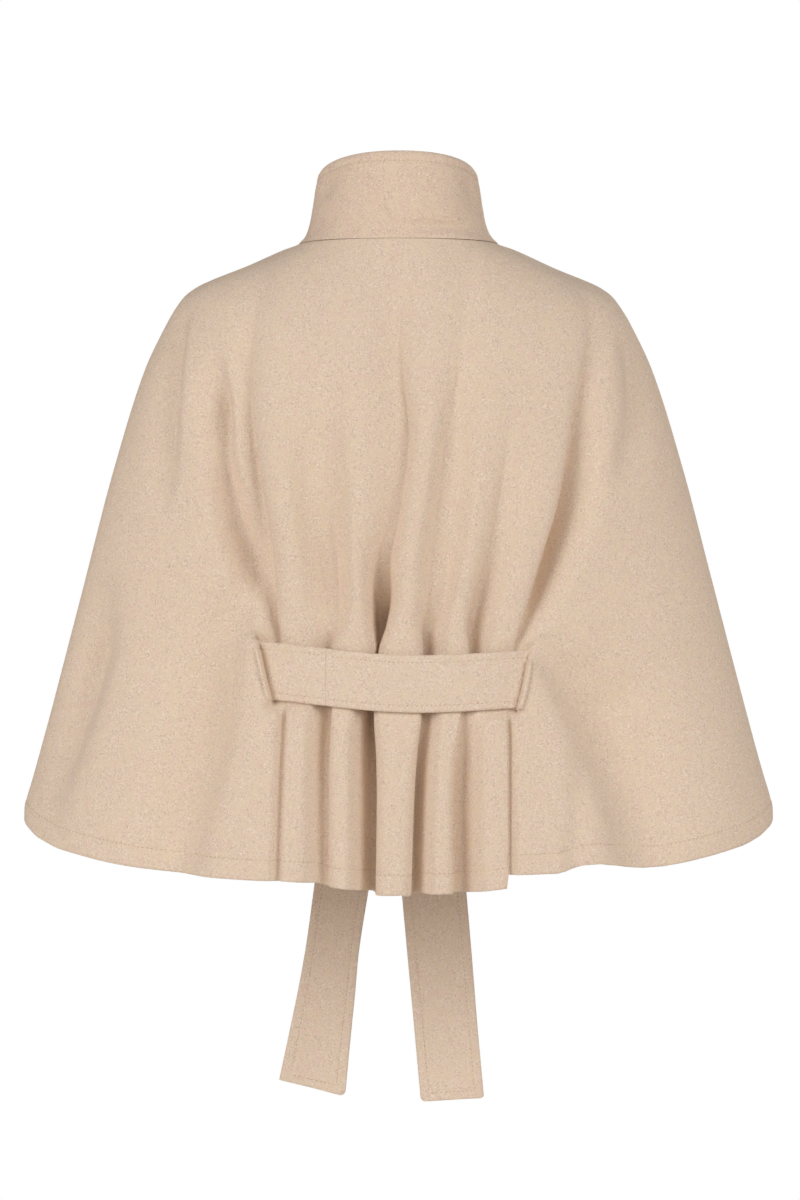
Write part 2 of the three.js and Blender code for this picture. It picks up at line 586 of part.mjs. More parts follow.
// Knot: the crossing of the two ends, flat against the fronts and rounded outside
{
  const rings = KNOT_ROWS.map((row) =>
    spread(0, 2 * Math.PI, KNOT_POINTS).map((turn) => {
      const bulge = row.bulge * Math.max(0, Math.sin(turn)) ** 0.6;
      return new THREE.Vector3(row.halfWidth * Math.cos(turn), KNOT_BACK_Y + bulge, BELT_Z + row.up);
    }),
  );
  const faces = [];
  const last = (rings.length - 1) * KNOT_POINTS;
  for (let i = 0; i < KNOT_POINTS; i += 1) {
    const next = (i + 1) % KNOT_POINTS;
    for (let r = 0; r < rings.length - 1; r += 1) {
      const [a, b] = [r * KNOT_POINTS + i, r * KNOT_POINTS + next];
      faces.push(a, a + KNOT_POINTS, b + KNOT_POINTS, a, b + KNOT_POINTS, b);
    }
    if (i > 0 && i < KNOT_POINTS - 1) faces.push(0, i, next, last, last + next, last + i);
  }
  addPiece("belt_knot", WOOL.belt, solid(rings.flat(), faces));
}

// Free ends of the belt, hanging from the knot over the fronts to below the hem
for (const tail of TAILS) {
  const length = tail.rows[tail.rows.length - 1].drop;
  const rows = [...spread(0, length, TAIL_DOWN), length].map((drop) =>
    [...spread(0.5, -0.5, TAIL_ACROSS), -0.5].map((share) => {
      const [x, y, width] = ["x", "y", "width"].map((column) => along(tail.rows, "drop", drop, column));
      const slant = tail.endSlant * share * (drop / length);
      return new THREE.Vector3(x + share * width, y, TAIL_TOP_Z - drop - slant);
    }),
  );
  const normals = normalsOf(rows);
  const [outer, inner] = [BELT_CLOTH / 2, -BELT_CLOTH / 2].map((out) => moved(rows, normals, out));
  addPiece(`belt_tail_${tail.name}`, WOOL.tail, wall(outer, inner));
}

export default cape;
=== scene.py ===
import math

import bmesh
import bpy
import numpy as np
from mathutils import Matrix, Vector


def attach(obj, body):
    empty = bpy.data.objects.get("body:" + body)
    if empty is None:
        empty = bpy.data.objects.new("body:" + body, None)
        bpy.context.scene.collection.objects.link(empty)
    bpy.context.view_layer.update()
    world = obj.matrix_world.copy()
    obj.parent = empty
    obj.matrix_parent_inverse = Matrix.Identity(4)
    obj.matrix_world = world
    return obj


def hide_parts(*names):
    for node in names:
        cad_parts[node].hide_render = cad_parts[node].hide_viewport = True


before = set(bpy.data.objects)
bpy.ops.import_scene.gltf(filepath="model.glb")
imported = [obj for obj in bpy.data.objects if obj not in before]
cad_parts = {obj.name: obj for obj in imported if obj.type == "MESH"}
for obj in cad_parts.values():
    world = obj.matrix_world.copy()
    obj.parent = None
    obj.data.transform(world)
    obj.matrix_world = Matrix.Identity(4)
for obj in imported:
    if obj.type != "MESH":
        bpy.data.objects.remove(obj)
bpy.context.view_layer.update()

# Studio: the cape is shown from behind, as worn but empty, in even light from large softboxes on pure
# white. Dark flags at both sides of the room shade its rounded edges, and a pale round floor lies well
# below the hanging belt ends, out of the picture.
PHOTO_WIDTH, PHOTO_HEIGHT = 800, 1200
METRES_PER_PIXEL = 0.00097
CAMERA_DISTANCE = 3.6
MIDDLE_PIXEL_X = 398.5
CAMERA_HEIGHT = -0.347
SENSOR_SIZE = 36
FLOOR_HEIGHT, FLOOR_RADIUS = -1.35, 2.3
FLOOR_COLOR, FLOOR_ROUGHNESS = (0.84, 0.79, 0.74, 1), 0.9

camera_data = bpy.data.cameras.new("camera")
camera_data.sensor_width = SENSOR_SIZE
camera_data.lens = SENSOR_SIZE * CAMERA_DISTANCE / (PHOTO_HEIGHT * METRES_PER_PIXEL)
camera = bpy.data.objects.new("camera", camera_data)
aside = (PHOTO_WIDTH / 2 - MIDDLE_PIXEL_X) * METRES_PER_PIXEL
camera.location = (aside, -CAMERA_DISTANCE, CAMERA_HEIGHT)
camera.rotation_euler = (math.radians(90), 0, 0)
bpy.context.collection.objects.link(camera)
bpy.context.scene.camera = camera

floor_bm = bmesh.new()
floor_place = Matrix.Translation((0, 0, FLOOR_HEIGHT))
bmesh.ops.create_circle(floor_bm, cap_ends=True, segments=96, radius=FLOOR_RADIUS, matrix=floor_place)
floor_mesh = bpy.data.meshes.new("floor")
floor_bm.to_mesh(floor_mesh)
floor_bm.free()
floor = bpy.data.objects.new("floor", floor_mesh)
bpy.context.collection.objects.link(floor)

floor_white = bpy.data.materials.new("floor_white")
floor_white.use_nodes = True
floor_shader = floor_white.node_tree.nodes["Principled BSDF"]
floor_shader.inputs["Base Color"].default_value = FLOOR_COLOR
floor_shader.inputs["Roughness"].default_value = FLOOR_ROUGHNESS
floor_shader.inputs["Specular IOR Level"].default_value = 0
floor_mesh.materials.append(floor_white)

SOFTBOXES = [
    {"name": "key", "place": (-2.6, -2.3, 0.35), "aim": (0, 0, -0.4), "size": 1.8, "watts": 63},
    {"name": "fill", "place": (2.6, -2.3, 0.65), "aim": (0, 0, -0.4), "size": 1.8, "watts": 58},
    {"name": "top", "place": (0, -0.9, 2.4), "aim": (0, 0, -0.3), "size": 2.0, "watts": 2},
    {"name": "front", "place": (0.6, 3.3, 0.6), "aim": (0, 0, -0.4), "size": 2.0, "watts": 60},
]
for box in SOFTBOXES:
    light = bpy.data.lights.new(box["name"], "AREA")
    light.size = box["size"]
    light.energy = box["watts"]
    lamp = bpy.data.objects.new(box["name"], light)
    lamp.location = box["place"]
    lamp.rotation_euler = (Vector(box["aim"]) - Vector(box["place"])).to_track_quat("-Z", "Y").to_euler()
    bpy.context.collection.objects.link(lamp)

# Light of the room from straight below (0) to straight above (1). Its strength falls off where the flags
# start, at a share of the way out to the sides.
ROOM_BANDS = [
    (0.35, (0.4, 0.29, 0.19, 1)),
    (0.56, (1, 0.98, 0.98, 1)),
    (0.62, (1, 0.98, 0.98, 1)),
    (0.85, (0.3, 0.29, 0.28, 1)),
]
ROOM_LIGHT, FLAG_START, FLAG_LIGHT = 0.62, 0.5, 0.08
world = bpy.data.worlds.new("studio")
bpy.context.scene.world = world
world.use_nodes = True
room, room_links = world.node_tree.nodes, world.node_tree.links
around, height = room.new("ShaderNodeTexCoord"), room.new("ShaderNodeSeparateXYZ")
share, shade = room.new("ShaderNodeMapRange"), room.new("ShaderNodeValToRGB")
share.inputs["From Min"].default_value = -1
for place, color in ROOM_BANDS[1:-1]:
    shade.color_ramp.elements.new(place)
for band, (place, color) in zip(shade.color_ramp.elements, ROOM_BANDS):
    band.position, band.color = place, color
room_links.new(around.outputs["Generated"], height.inputs[0])
room_links.new(height.outputs["Z"], share.inputs["Value"])
room_links.new(share.outputs["Result"], shade.inputs["Fac"])
room_links.new(shade.outputs["Color"], room["Background"].inputs["Color"])
sideways, flagged = room.new("ShaderNodeMath"), room.new("ShaderNodeMapRange")
sideways.operation = "ABSOLUTE"
flags = {"From Min": FLAG_START, "From Max": 1, "To Min": ROOM_LIGHT, "To Max": FLAG_LIGHT}
for name, value in flags.items():
    flagged.inputs[name].default_value = value
room_links.new(height.outputs["X"], sideways.inputs[0])
room_links.new(sideways.outputs[0], flagged.inputs["Value"])
room_links.new(flagged.outputs["Result"], room["Background"].inputs["Strength"])
white = room.new("ShaderNodeBackground")
white.inputs["Color"].default_value = (1, 1, 1, 1)
seen, ray = room.new("ShaderNodeMixShader"), room.new("ShaderNodeLightPath")
room_links.new(ray.outputs["Is Camera Ray"], seen.inputs[0])
room_links.new(room["Background"].outputs[0], seen.inputs[1])
room_links.new(white.outputs[0], seen.inputs[2])
room_links.new(seen.outputs[0], room["World Output"].inputs["Surface"])
bpy.context.scene.view_settings.view_transform = "Standard"

# Back: one flared panel of brushed wool coating, cut from side seam to side seam. The belt draws its
# middle into five pleats between two slanted slots. The hem is turned up and top-stitched.
MM = 0.001
CLOTH = 2.4
SEAM_GAP = 0.3
ROUNDNESS = 2.2

# Level sections of the smooth cape in millimetres, from the neck seam (0) down to the hem (1)
SECTION_COLUMNS = ("down", "half_width", "side_z", "back_y", "back_z", "front_y", "front_z")
SECTION_ROWS = [
    (0, 97, -3.5, -72, -3, 76, -45),
    (0.031, 114, -9, -79.5, -21, 84, -61),
    (0.092, 151, -25.5, -93, -57, 98, -94),
    (0.153, 189, -41, -103.5, -93.5, 110, -128),
    (0.175, 201.5, -48.3, -107, -107, 114, -140),
    (0.192, 209.8, -56, -109, -117.5, 117, -150),
    (0.23, 224.5, -79, -113, -140.5, 122.5, -172),
    (0.307, 247, -127, -117.5, -189, 130, -217),
    (0.46, 276, -221, -117, -285, 130, -307),
    (0.613, 301, -317, -114.5, -381, 122, -397),
    (0.69, 313.5, -365, -115, -429, 120, -442),
    (0.767, 326, -413, -121, -478, 124, -487),
    (0.92, 352.5, -510, -140, -571, 139, -576),
    (0.97, 361, -542, -147, -601, 145, -603),
    (1, 362, -561, -151, -619, 148, -620),
]
SECTIONS = dict(zip(SECTION_COLUMNS, np.array(SECTION_ROWS).T))
LENGTH_DOWN = 630

# Fold valleys of the back from left to right, at twelve heights: the x of the crisp edge of each, how
# far its floor reaches from there, its depth, and how its left and right sides rise: the smaller the
# number, the more abruptly. The ridge before the next valley stands at a share of the way there.
FOLD_HEIGHTS = (0, 0.19, 0.307, 0.44, 0.5, 0.56, 0.6, 0.635, 0.727, 0.78, 0.85, 1)
BACK_FOLDS = [
    {"crisp": 1, "ridge": 0.35,
     "x": (-116, -139.5, -140, -128, -121.5, -117, -114, -111, -105.5, -106.5, -108, -110.5),
     "floor": (0, 0, 1, 4, 6, 6, 4, 2, 2, 2, 2, 2),
     "depth": (0, 5, 11, 19, 22, 20, 17, 14, 9, 8, 8, 8),
     "left": (1, 0.9, 0.75, 0.7, 0.7, 0.7, 0.7, 0.7, 0.75, 0.8, 0.8, 0.8),
     "right": (0.8, 0.5, 0.32, 0.26, 0.24, 0.2, 0.16, 0.13, 0.12, 0.12, 0.12, 0.15)},
    {"crisp": 1, "ridge": 0.35,
     "x": (-60, -66, -72, -64, -60, -57, -58, -63, -63.5, -65.5, -66, -65.5),
     "floor": (0, 0, 5, 8, 8, 7, 4, 3, 3, 4, 5, 5),
     "depth": (0, 0, 9, 17, 19, 17, 13, 14, 19, 20, 19, 18),
     "left": (1.1, 1.1, 1.1, 1.1, 1.1, 1, 0.8, 0.7, 0.75, 0.8, 0.8, 0.8),
     "right": (1.1, 1.1, 1.1, 1, 0.9, 0.8, 0.6, 0.25, 0.12, 0.18, 0.22, 0.26)},
    {"crisp": 1, "ridge": 0.5,
     "x": (0, 2.5, 11, 0, -7.5, -8, -12.5, -19.5, -24, -22, -21, -22),
     "floor": (0, 1, 3, 7, 12, 15, 9, 0, 3, 4, 4, 4),
     "depth": (0, 11, 14, 16, 21, 33, 40, 26, 38, 38, 36, 34),
     "left": (0.8, 0.75, 0.65, 0.65, 0.6, 0.35, 0.25, 0.2, 0.5, 0.75, 0.8, 0.8),
     "right": (0.8, 0.38, 0.34, 0.42, 0.42, 0.3, 0.18, 0.18, 0.12, 0.16, 0.16, 0.16)},
    {"crisp": -1, "ridge": 0.64,
     "x": (74, 61, 47, 36, 32, 28, 22.5, 24, 22.5, 18.5, 15.5, 12.5),
     "floor": (0, 0, 2, 9, 11, 10, 8, 4, 3, 2, 2, 2),
     "depth": (0, 6, 12, 14, 15, 15, 17, 21, 18, 24, 28, 29),
     "left": (1, 0.65, 0.6, 0.65, 0.65, 0.5, 0.3, 0.15, 0.12, 0.14, 0.17, 0.19),
     "right": (0.8, 0.8, 0.9, 1.2, 1.3, 1.3, 1, 0.7, 0.75, 0.8, 0.8, 0.8)},
    {"crisp": -1, "ridge": 0.62,
     "x": (80, 108, 105, 92.5, 83, 71, 65.5, 67.5, 59.5, 54.5, 51, 52),
     "floor": (0, 0, 1, 4, 6, 8, 7, 3, 2, 7, 9, 9),
     "depth": (0, 0, 2, 8, 13, 18, 21, 19, 10, 17, 22, 24),
     "left": (0.8, 0.65, 0.55, 0.45, 0.38, 0.22, 0.15, 0.13, 0.12, 0.13, 0.14, 0.15),
     "right": (0.8, 0.8, 0.8, 0.8, 0.8, 0.8, 0.8, 0.75, 0.8, 0.9, 0.9, 0.9)},
    {"crisp": -1, "ridge": 0.5,
     "x": (120, 182, 169, 153.5, 140.5, 126.5, 116.5, 109, 103, 103.5, 103.5, 103.5),
     "floor": (0, 1, 2, 4, 4, 4, 3, 2, 2, 2, 2, 2),
     "depth": (0, 3, 12, 27, 32, 26, 14.5, 10, 7, 7, 7.5, 8),
     "left": (0.8, 0.4, 0.2, 0.14, 0.12, 0.12, 0.12, 0.12, 0.12, 0.14, 0.16, 0.2),
     "right": (0.8, 0.8, 0.7, 0.65, 0.65, 0.68, 0.7, 0.7, 0.6, 0.6, 0.6, 0.6)},
]
# How far the outermost folds reach beyond their valleys at the same heights
BACK_REACH_LEFT = (40, 24, 30, 42, 46, 42, 30, 18, 13, 13, 13, 13)
BACK_REACH_RIGHT = (60, 30, 36, 50, 48, 40, 32, 20, 11, 11, 11, 11)
LEAST_RISE = 3

# Soft hollows of the back: the x and z of points on the way down, and at each of them the depth and
# how far the hollow reaches to the left and to the right
BACK_HOLLOWS = [
    [(122, -386, 0, 8, 14), (140, -400, 7, 10, 24), (161, -426, 18, 13, 36), (182, -457, 27, 18, 48),
     (198, -497, 29, 21, 50), (211, -529, 27, 22, 50), (226, -590, 18, 22, 50)],
    [(166, -480, 0, 6, 16), (167, -520, 5, 6, 16), (166, -560, 6, 6, 16), (163, -605, 6, 6, 16)],
    [(-153, -330, 0, 20, 14), (-160, -370, 12, 28, 15), (-167, -420, 20, 32, 15), (-174, -479, 22, 34, 15),
     (-190, -535, 21, 34, 16), (-207, -600, 17, 34, 18)],
    [(-172, -108, 0, 20, 5), (-167, -143, 10, 20, 5), (-165, -166, 20, 20, 5), (-165, -186, 20, 19, 6),
     (-167, -205, 17, 14, 8), (-167, -233, 23, 9, 14), (-159, -276, 26, 11, 18), (-147, -309, 24, 14, 18),
     (-140, -328, 17, 18, 16), (-143, -352, 8, 18, 12), (-146, -375, 4, 16, 10), (-146, -392, 0, 16, 10)],
    [(-204, -68, 0, 20, 5), (-209, -99, 8, 20, 5), (-213, -137, 10, 20, 5), (-216, -175, 10, 20, 5),
     (-216, -204, 8, 20, 5), (-219, -242, 4, 20, 5), (-221, -275, 0, 20, 5)],
    [(215, -84, 0, 9, 20), (224, -122, 8, 9, 20), (226, -156, 9, 9, 20), (222, -185, 7, 9, 20),
     (214, -218, 4.5, 9, 20), (207, -245, 0, 9, 20)],
    [(-281, -310, 0, 20, 16), (-288, -394, 18, 20, 14), (-302, -441, 18, 20, 14), (-320, -488, 15, 20, 15),
     (-344, -565, 0, 20, 17)],
]
# How far the hem hangs above the smooth cape's own, at places across it, and where that starts
HEM_START = 0.74
BACK_HEM = [
    (-362, 0), (-346, -7), (-325, -9.5), (-281, -7), (-224, -3), (-149, 3), (-106, 6), (-78, 6.3),
    (-64, 3), (-40, 1), (-23, -1), (-21.5, -3.3), (3, -3), (8, -4.3), (13, -3.2), (20, -1.7), (32, -2.5),
    (62, -2.6), (85, -1.2), (101.6, -0.3), (102.6, 12), (118, 11), (140, 9.5), (150, 8.5), (162, 11),
    (172, 12.7), (188, 11.5), (206, 6), (228, -2.4), (250, -5.8), (270, -6.8), (330, -8), (345, -6),
    (362, 0),
]
HEM_STITCH, HEM_STEP = 20, 3
HEM_DOUBLED, HEM_GROOVE, HEM_EDGE = 0.6, 0.5, 1.1
GROOVE_WIDTH, EDGE_WIDTH = 1.5, 1.3
SIDE_FLAT, SIDE_GROOVE, SIDE_GROOVE_WIDTH = 30, 0.9, 1.8
NECK_FLAT = 16
ALLOWANCE_RISE, ALLOWANCE_DOWN, ALLOWANCE_WIDTH = 0.2, 2.2, 1.6

# Slight waves of worn cloth: height, lengths across and down, and start
CLOTH_WAVES = [(0.5, 41, 67, 0.6), (0.4, 23, -53, 2.1)]
LUMP_HEIGHT = 0.12

BELT_WIDTH = 54
BELT_CLOTH = 4
BELT_GAP = 0.5
BELT_HALF_WIDTH_X, BELT_BACK_Y, BELT_FRONT_Y = 165, 118, 127.5
BELT_SQUARENESS = 3
BELT_Z, BELT_BACK_SAG, BELT_SAG_REACH, BELT_TILT = -417, 8.5, 150, 0.038
BELT_DOWN, TILT_REACH_DOWN, TILT_FULL_X, TILT_FADE_X = 0.685, 0.25, 130, 120
PRESS_START, PRESS_FADE, PRESS_WIDENING = 1, 11, 2.5
SLOT_GAPE, LEFT_GAPE = 5, 0.8
SLOT_CLOSED = 0.8
SLOT_LINE_ENDS = (-0.4, 1.2)
SLOT_ROOM, SLOT_ROOM_ABOVE, SLOT_ROOM_END = 2, 12, 0.6
LIP_WIDTH = 5
BACK_SLOT_TOP, BACK_SLOT_BOTTOM = 0.655, 0.729
BACK_SLOTS = {"left": (-131, -119), "right": (121.5, 111)}

# Columns of cloth from line to line across the back, and rows from the neck to the slots and the hem
BACK_COLUMNS = (46, 4, 3, 5, 24, 24, 24, 24, 24, 5, 3, 4, 46)
WIDEST_LINE, EVENNESS = 0.9, 0.4
ROW_COUNTS = (8, 86, 24, 42, 30)
ROWS_NECK_END, ROWS_HEM_START = 0.016, 0.958


def ease(share):
    s = np.clip(share, 0, 1)
    return s * s * (3 - 2 * s)


def bell(away, width):
    return np.exp(-((away / width) ** 2))


def curve_through(places, values, at):
    """Values at places along a smooth curve through the given ones."""
    places, values = np.asarray(places, float), np.asarray(values, float)
    slope = np.empty_like(values)
    slope[1:-1] = (values[2:] - values[:-2]) / (places[2:] - places[:-2])
    slope[0] = (values[1] - values[0]) / (places[1] - places[0])
    slope[-1] = (values[-1] - values[-2]) / (places[-1] - places[-2])
    i = np.clip(np.searchsorted(places, at) - 1, 0, len(places) - 2)
    span = places[i + 1] - places[i]
    t = (at - places[i]) / span
    start, end = slope[i] * span, slope[i + 1] * span
    bend = 2 * (values[i] - values[i + 1]) + start + end
    turn = 3 * (values[i + 1] - values[i]) - 2 * start - end
    return ((bend * t + turn) * t + start) * t + values[i]


def section(column, down):
    return curve_through(SECTIONS["down"], SECTIONS[column], down)


def angle_to(x, down):
    share = np.minimum(1, np.abs(x) / section("half_width", down))
    return np.sign(x) * np.arcsin(share ** (ROUNDNESS / 2))


def smooth_cape(angle, down, end):
    """Points of the cape without its folds, at angles from centre back or centre front."""
    across = np.abs(np.sin(angle)) ** (2 / ROUNDNESS)
    depth = np.abs(np.cos(angle)) ** (2 / ROUNDNESS)
    x = np.sign(angle) * section("half_width", down) * across
    y = section(end + "_y", down) * depth
    z = section("side_z", down)
    return np.stack([x, y, z + (section(end + "_z", down) - z) * np.cos(angle) ** 2], axis=-1)


def smooth_cape_normal(angle, down, end):
    step = 0.004
    here = np.clip(down, step, 1 - step)
    across = smooth_cape(angle + step, here, end) - smooth_cape(angle - step, here, end)
    below = smooth_cape(angle, here + step, end) - smooth_cape(angle, here - step, end)
    normal = np.cross(below, across) * (1 if end == "back" else -1)
    return normal / np.linalg.norm(normal, axis=-1, keepdims=True)


def fold_depth(folds, x, down, reach_before, reach_after):
    """How far folds, sorted by x, draw the cloth in below the smooth cape."""
    at = lambda values: curve_through(FOLD_HEIGHTS, values, down)
    places = [at(fold["x"]) for fold in folds]

    def rise(fold, side, away, reach):
        floor = 0 if fold["crisp"] == side else np.maximum(0, at(fold["floor"]))
        share = np.clip((away - floor) / np.maximum(LEAST_RISE, reach - floor), 0, 1)
        return at(fold["depth"]) * (1 - ease(share ** at(fold["left" if side < 0 else "right"])))

    depth = np.where(x <= places[0], rise(folds[0], -1, places[0] - x, reach_before), 0)
    depth = np.where(x >= places[-1], rise(folds[-1], 1, x - places[-1], reach_after), depth)
    for fold, after, left, right in zip(folds, folds[1:], places, places[1:]):
        ridge = left + (right - left) * fold["ridge"]
        falls = rise(fold, 1, x - left, ridge - left)
        climbs = rise(after, -1, right - x, right - ridge)
        depth = np.where((x > left) & (x < right), np.where(x < ridge, falls, climbs), depth)
    return depth


def hollow_depth(hollows, x, z):
    """How far soft hollows draw the cloth in."""
    depth = np.zeros_like(x)
    for hollow in hollows:
        rows = np.array(hollow, float)
        nearest = np.full_like(x, np.inf)
        here = np.zeros((len(x), 3))
        aside = np.zeros_like(x)
        for start, end in zip(rows, rows[1:]):
            run = end[:2] - start[:2]
            share = np.clip(((x - start[0]) * run[0] + (z - start[1]) * run[1]) / (run @ run), 0, 1)
            away = np.hypot(x - start[0] - share * run[0], z - start[1] - share * run[1])
            closer = away < nearest
            here[closer] = (start[2:] + share[:, None] * (end - start)[2:])[closer]
            aside[closer] = (run[0] * (z - start[1]) - run[1] * (x - start[0]))[closer]
            nearest = np.minimum(nearest, away)
        depth += here[:, 0] * bell(nearest, np.where(aside < 0, here[:, 1], here[:, 2]))
    return depth


def unevenness(x, z):
    """Slight waves and lumps of worn cloth."""
    waves = sum(high * np.sin(x / across + z / down + start) for high, across, down, start in CLOTH_WAVES)
    lumps = np.sin(x / 2.9 + 2 * np.sin(z / 7.3)) * np.sin(z / 3.7 + 2 * np.sin(x / 6.1))
    return waves + LUMP_HEIGHT * lumps


def hem_relief(above):
    """How far the turned-up hem stands out: doubled below a sunk row of stitches, with a round edge."""
    doubled = HEM_DOUBLED * (1 - ease((above - HEM_STITCH) / HEM_STEP))
    groove = HEM_GROOVE * bell(above - HEM_STITCH, GROOVE_WIDTH)
    return doubled - groove - HEM_EDGE * bell(above, EDGE_WIDTH)


def neck_relief(below):
    """How far the cloth stands out over the seam allowance pressed down below the collar."""
    return ALLOWANCE_RISE * bell(below - ALLOWANCE_DOWN, ALLOWANCE_WIDTH)


def belt_line(angle):
    """Middle line of the belt round the waist, from centre back and positive to the right."""
    behind = np.cos(angle) > 0
    depth = np.where(behind, BELT_BACK_Y, BELT_FRONT_Y)
    across = np.abs(np.sin(angle) / BELT_HALF_WIDTH_X) ** BELT_SQUARENESS
    radius = (across + np.abs(np.cos(angle) / depth) ** BELT_SQUARENESS) ** (-1 / BELT_SQUARENESS)
    x = radius * np.sin(angle)
    reach = np.where(behind, np.minimum(1, np.abs(x) / BELT_SAG_REACH), 1)
    sag = BELT_BACK_SAG * np.cos(reach * math.pi / 2) ** 2
    tilt = BELT_TILT * x * (0.5 + np.cos(angle) / 2)
    return np.stack([x, -radius * np.cos(angle), BELT_Z - sag - tilt], axis=-1)


def press_under_belt(points, slot_x, end, room=0):
    """Presses the cloth between the slots in under the belt."""
    out, depth = (-1, BELT_BACK_Y) if end == "back" else (1, BELT_FRONT_Y)
    x, y, z = points.T
    belt = belt_line(np.arctan2(x, -out * depth))
    past_belt = np.maximum(0, np.abs(z - belt[:, 2]) - BELT_WIDTH / 2)
    under = 1 - ease((past_belt - PRESS_START) / PRESS_FADE)
    inside = 1 - ease((np.abs(x) - slot_x) / (SLOT_GAPE + PRESS_WIDENING * past_belt))
    share = np.minimum(0.999, np.abs(x) / BELT_HALF_WIDTH_X)
    left = 1 - share ** BELT_SQUARENESS
    slope = share ** 2 * depth / BELT_HALF_WIDTH_X * np.maximum(0.05, left) ** (1 / BELT_SQUARENESS - 1)
    face = depth * left ** (1 / BELT_SQUARENESS) - BELT_CLOTH / 2 * np.hypot(1, slope) - BELT_GAP
    proud = np.maximum(0, out * y - face + room)
    points[:, 1] = y - out * proud * under * inside


def slot_share(down, top, bottom):
    return (down - top) / (bottom - top)


def slot_half(share):
    """Half of a slot's gape, from one end of it to the other."""
    return (SLOT_CLOSED + (SLOT_GAPE - SLOT_CLOSED) * np.sin(np.clip(share, 0, 1) * math.pi) ** 0.5) / 2


def slot_middle(name, down):
    top, bottom = BACK_SLOTS[name]
    share = np.clip(slot_share(down, BACK_SLOT_TOP, BACK_SLOT_BOTTOM), *SLOT_LINE_ENDS)
    return top + (bottom - top) * share


def back_surface(angle, down):
    """Outer points of the back."""
    points = smooth_cape(angle, down, "back")
    x, y, z = points.T.copy()
    reaches = [curve_through(FOLD_HEIGHTS, reach, down) for reach in (BACK_REACH_LEFT, BACK_REACH_RIGHT)]
    out = unevenness(x, z) - fold_depth(BACK_FOLDS, x, down, *reaches) - hollow_depth(BACK_HOLLOWS, x, z)
    below_neck = down * LENGTH_DOWN
    out *= ease(np.abs(y) / SIDE_FLAT) * ease(below_neck / NECK_FLAT)
    out += hem_relief(LENGTH_DOWN - below_neck) + neck_relief(below_neck)
    out -= SIDE_GROOVE * bell(y, SIDE_GROOVE_WIDTH)
    normal = smooth_cape_normal(angle, down, "back")
    hang = ease((down - HEM_START) / (1 - HEM_START))
    normal[:, 2] *= 1 - hang
    points += normal * out[:, None]
    near_belt = ease(1 - np.abs(down - BELT_DOWN) / TILT_REACH_DOWN)
    near_belt = near_belt * (1 - ease((np.abs(points[:, 0]) - TILT_FULL_X) / TILT_FADE_X))
    points[:, 2] -= BELT_TILT * points[:, 0] * near_belt
    rise = np.interp(points[:, 0], *zip(*BACK_HEM))
    points[:, 2] += rise * hang
    slot = np.where(x < 0, -slot_middle("left", down), slot_middle("right", down))
    press_under_belt(points, slot - SLOT_GAPE / 2, "back")
    return points


def back_slot_edges(down):
    """The two edges of each slot's line on the back, from left to right, kept clear of the folds."""
    half = slot_half(slot_share(down, BACK_SLOT_TOP, BACK_SLOT_BOTTOM))
    first, last = [curve_through(FOLD_HEIGHTS, BACK_FOLDS[i]["x"], down) for i in (0, -1)]
    room = SLOT_ROOM + SLOT_ROOM_ABOVE * ease(1 - down / SLOT_ROOM_END)
    left = np.minimum(slot_middle("left", down) + half * LEFT_GAPE, first - room)
    right = np.maximum(slot_middle("right", down) - half, last + room)
    return left - 2 * half * LEFT_GAPE, left, right, right + 2 * half


def back_angles(across, down):
    """Angles on the back for shares across the panel, in columns that follow the folds and slots."""
    folds = [curve_through(FOLD_HEIGHTS, fold["x"], down) for fold in BACK_FOLDS]
    left_out, left_in, right_in, right_out = back_slot_edges(down)
    places = [left_out - LIP_WIDTH, left_out, left_in, *folds, right_in, right_out, right_out + LIP_WIDTH]
    widest = np.maximum(-left_out, right_out) + LIP_WIDTH
    shrink = np.minimum(1, WIDEST_LINE * section("half_width", down) / widest)
    lines = [np.full_like(down, -math.pi / 2)]
    lines += [angle_to(x * shrink, down) for x in places]
    lines += [np.full_like(down, math.pi / 2)]
    return between_lines(lines, BACK_COLUMNS, across)


def between_lines(lines, columns, across):
    """Angles at shares across a panel with so many columns between its lines, closer beside each line."""
    ends = np.concatenate([[0], np.cumsum(columns)]) / sum(columns)
    i = np.clip(np.searchsorted(ends, across + 1e-9) - 1, 0, len(columns) - 1)
    share = (across - ends[i]) / (ends[i + 1] - ends[i])
    share = EVENNESS * share + (1 - EVENNESS) / 2 * (1 - np.cos(math.pi * share))
    lines, point = np.array(lines), np.arange(len(across))
    return lines[i, point] * (1 - share) + lines[i + 1, point] * share


def rows_down(top, bottom):
    """Heights of a panel's rows of cloth, with a row on each end of its slots and close rows at the hem."""
    ends = (0, ROWS_NECK_END, top, bottom, ROWS_HEM_START, 1)
    rows = [np.linspace(*span, endpoint=False) for span in zip(ends, ends[1:], ROW_COUNTS)]
    return np.concatenate([*rows, [1]])


def cloth_grid(across_cells, down_cells):
    """A flat sheet of cloth, with the share across and the share down of each of its points."""
    bm = bmesh.new()
    bmesh.ops.create_grid(bm, x_segments=across_cells, y_segments=down_cells, size=0.5)
    flat = np.array([v.co[:2] for v in bm.verts])
    return bm, flat[:, 0] + 0.5, 0.5 - flat[:, 1]


def put_in_place(bm, points):
    for vert, point in zip(bm.verts, points):
        vert.co = Vector(point) * MM
    bmesh.ops.recalc_face_normals(bm, faces=bm.faces[:])


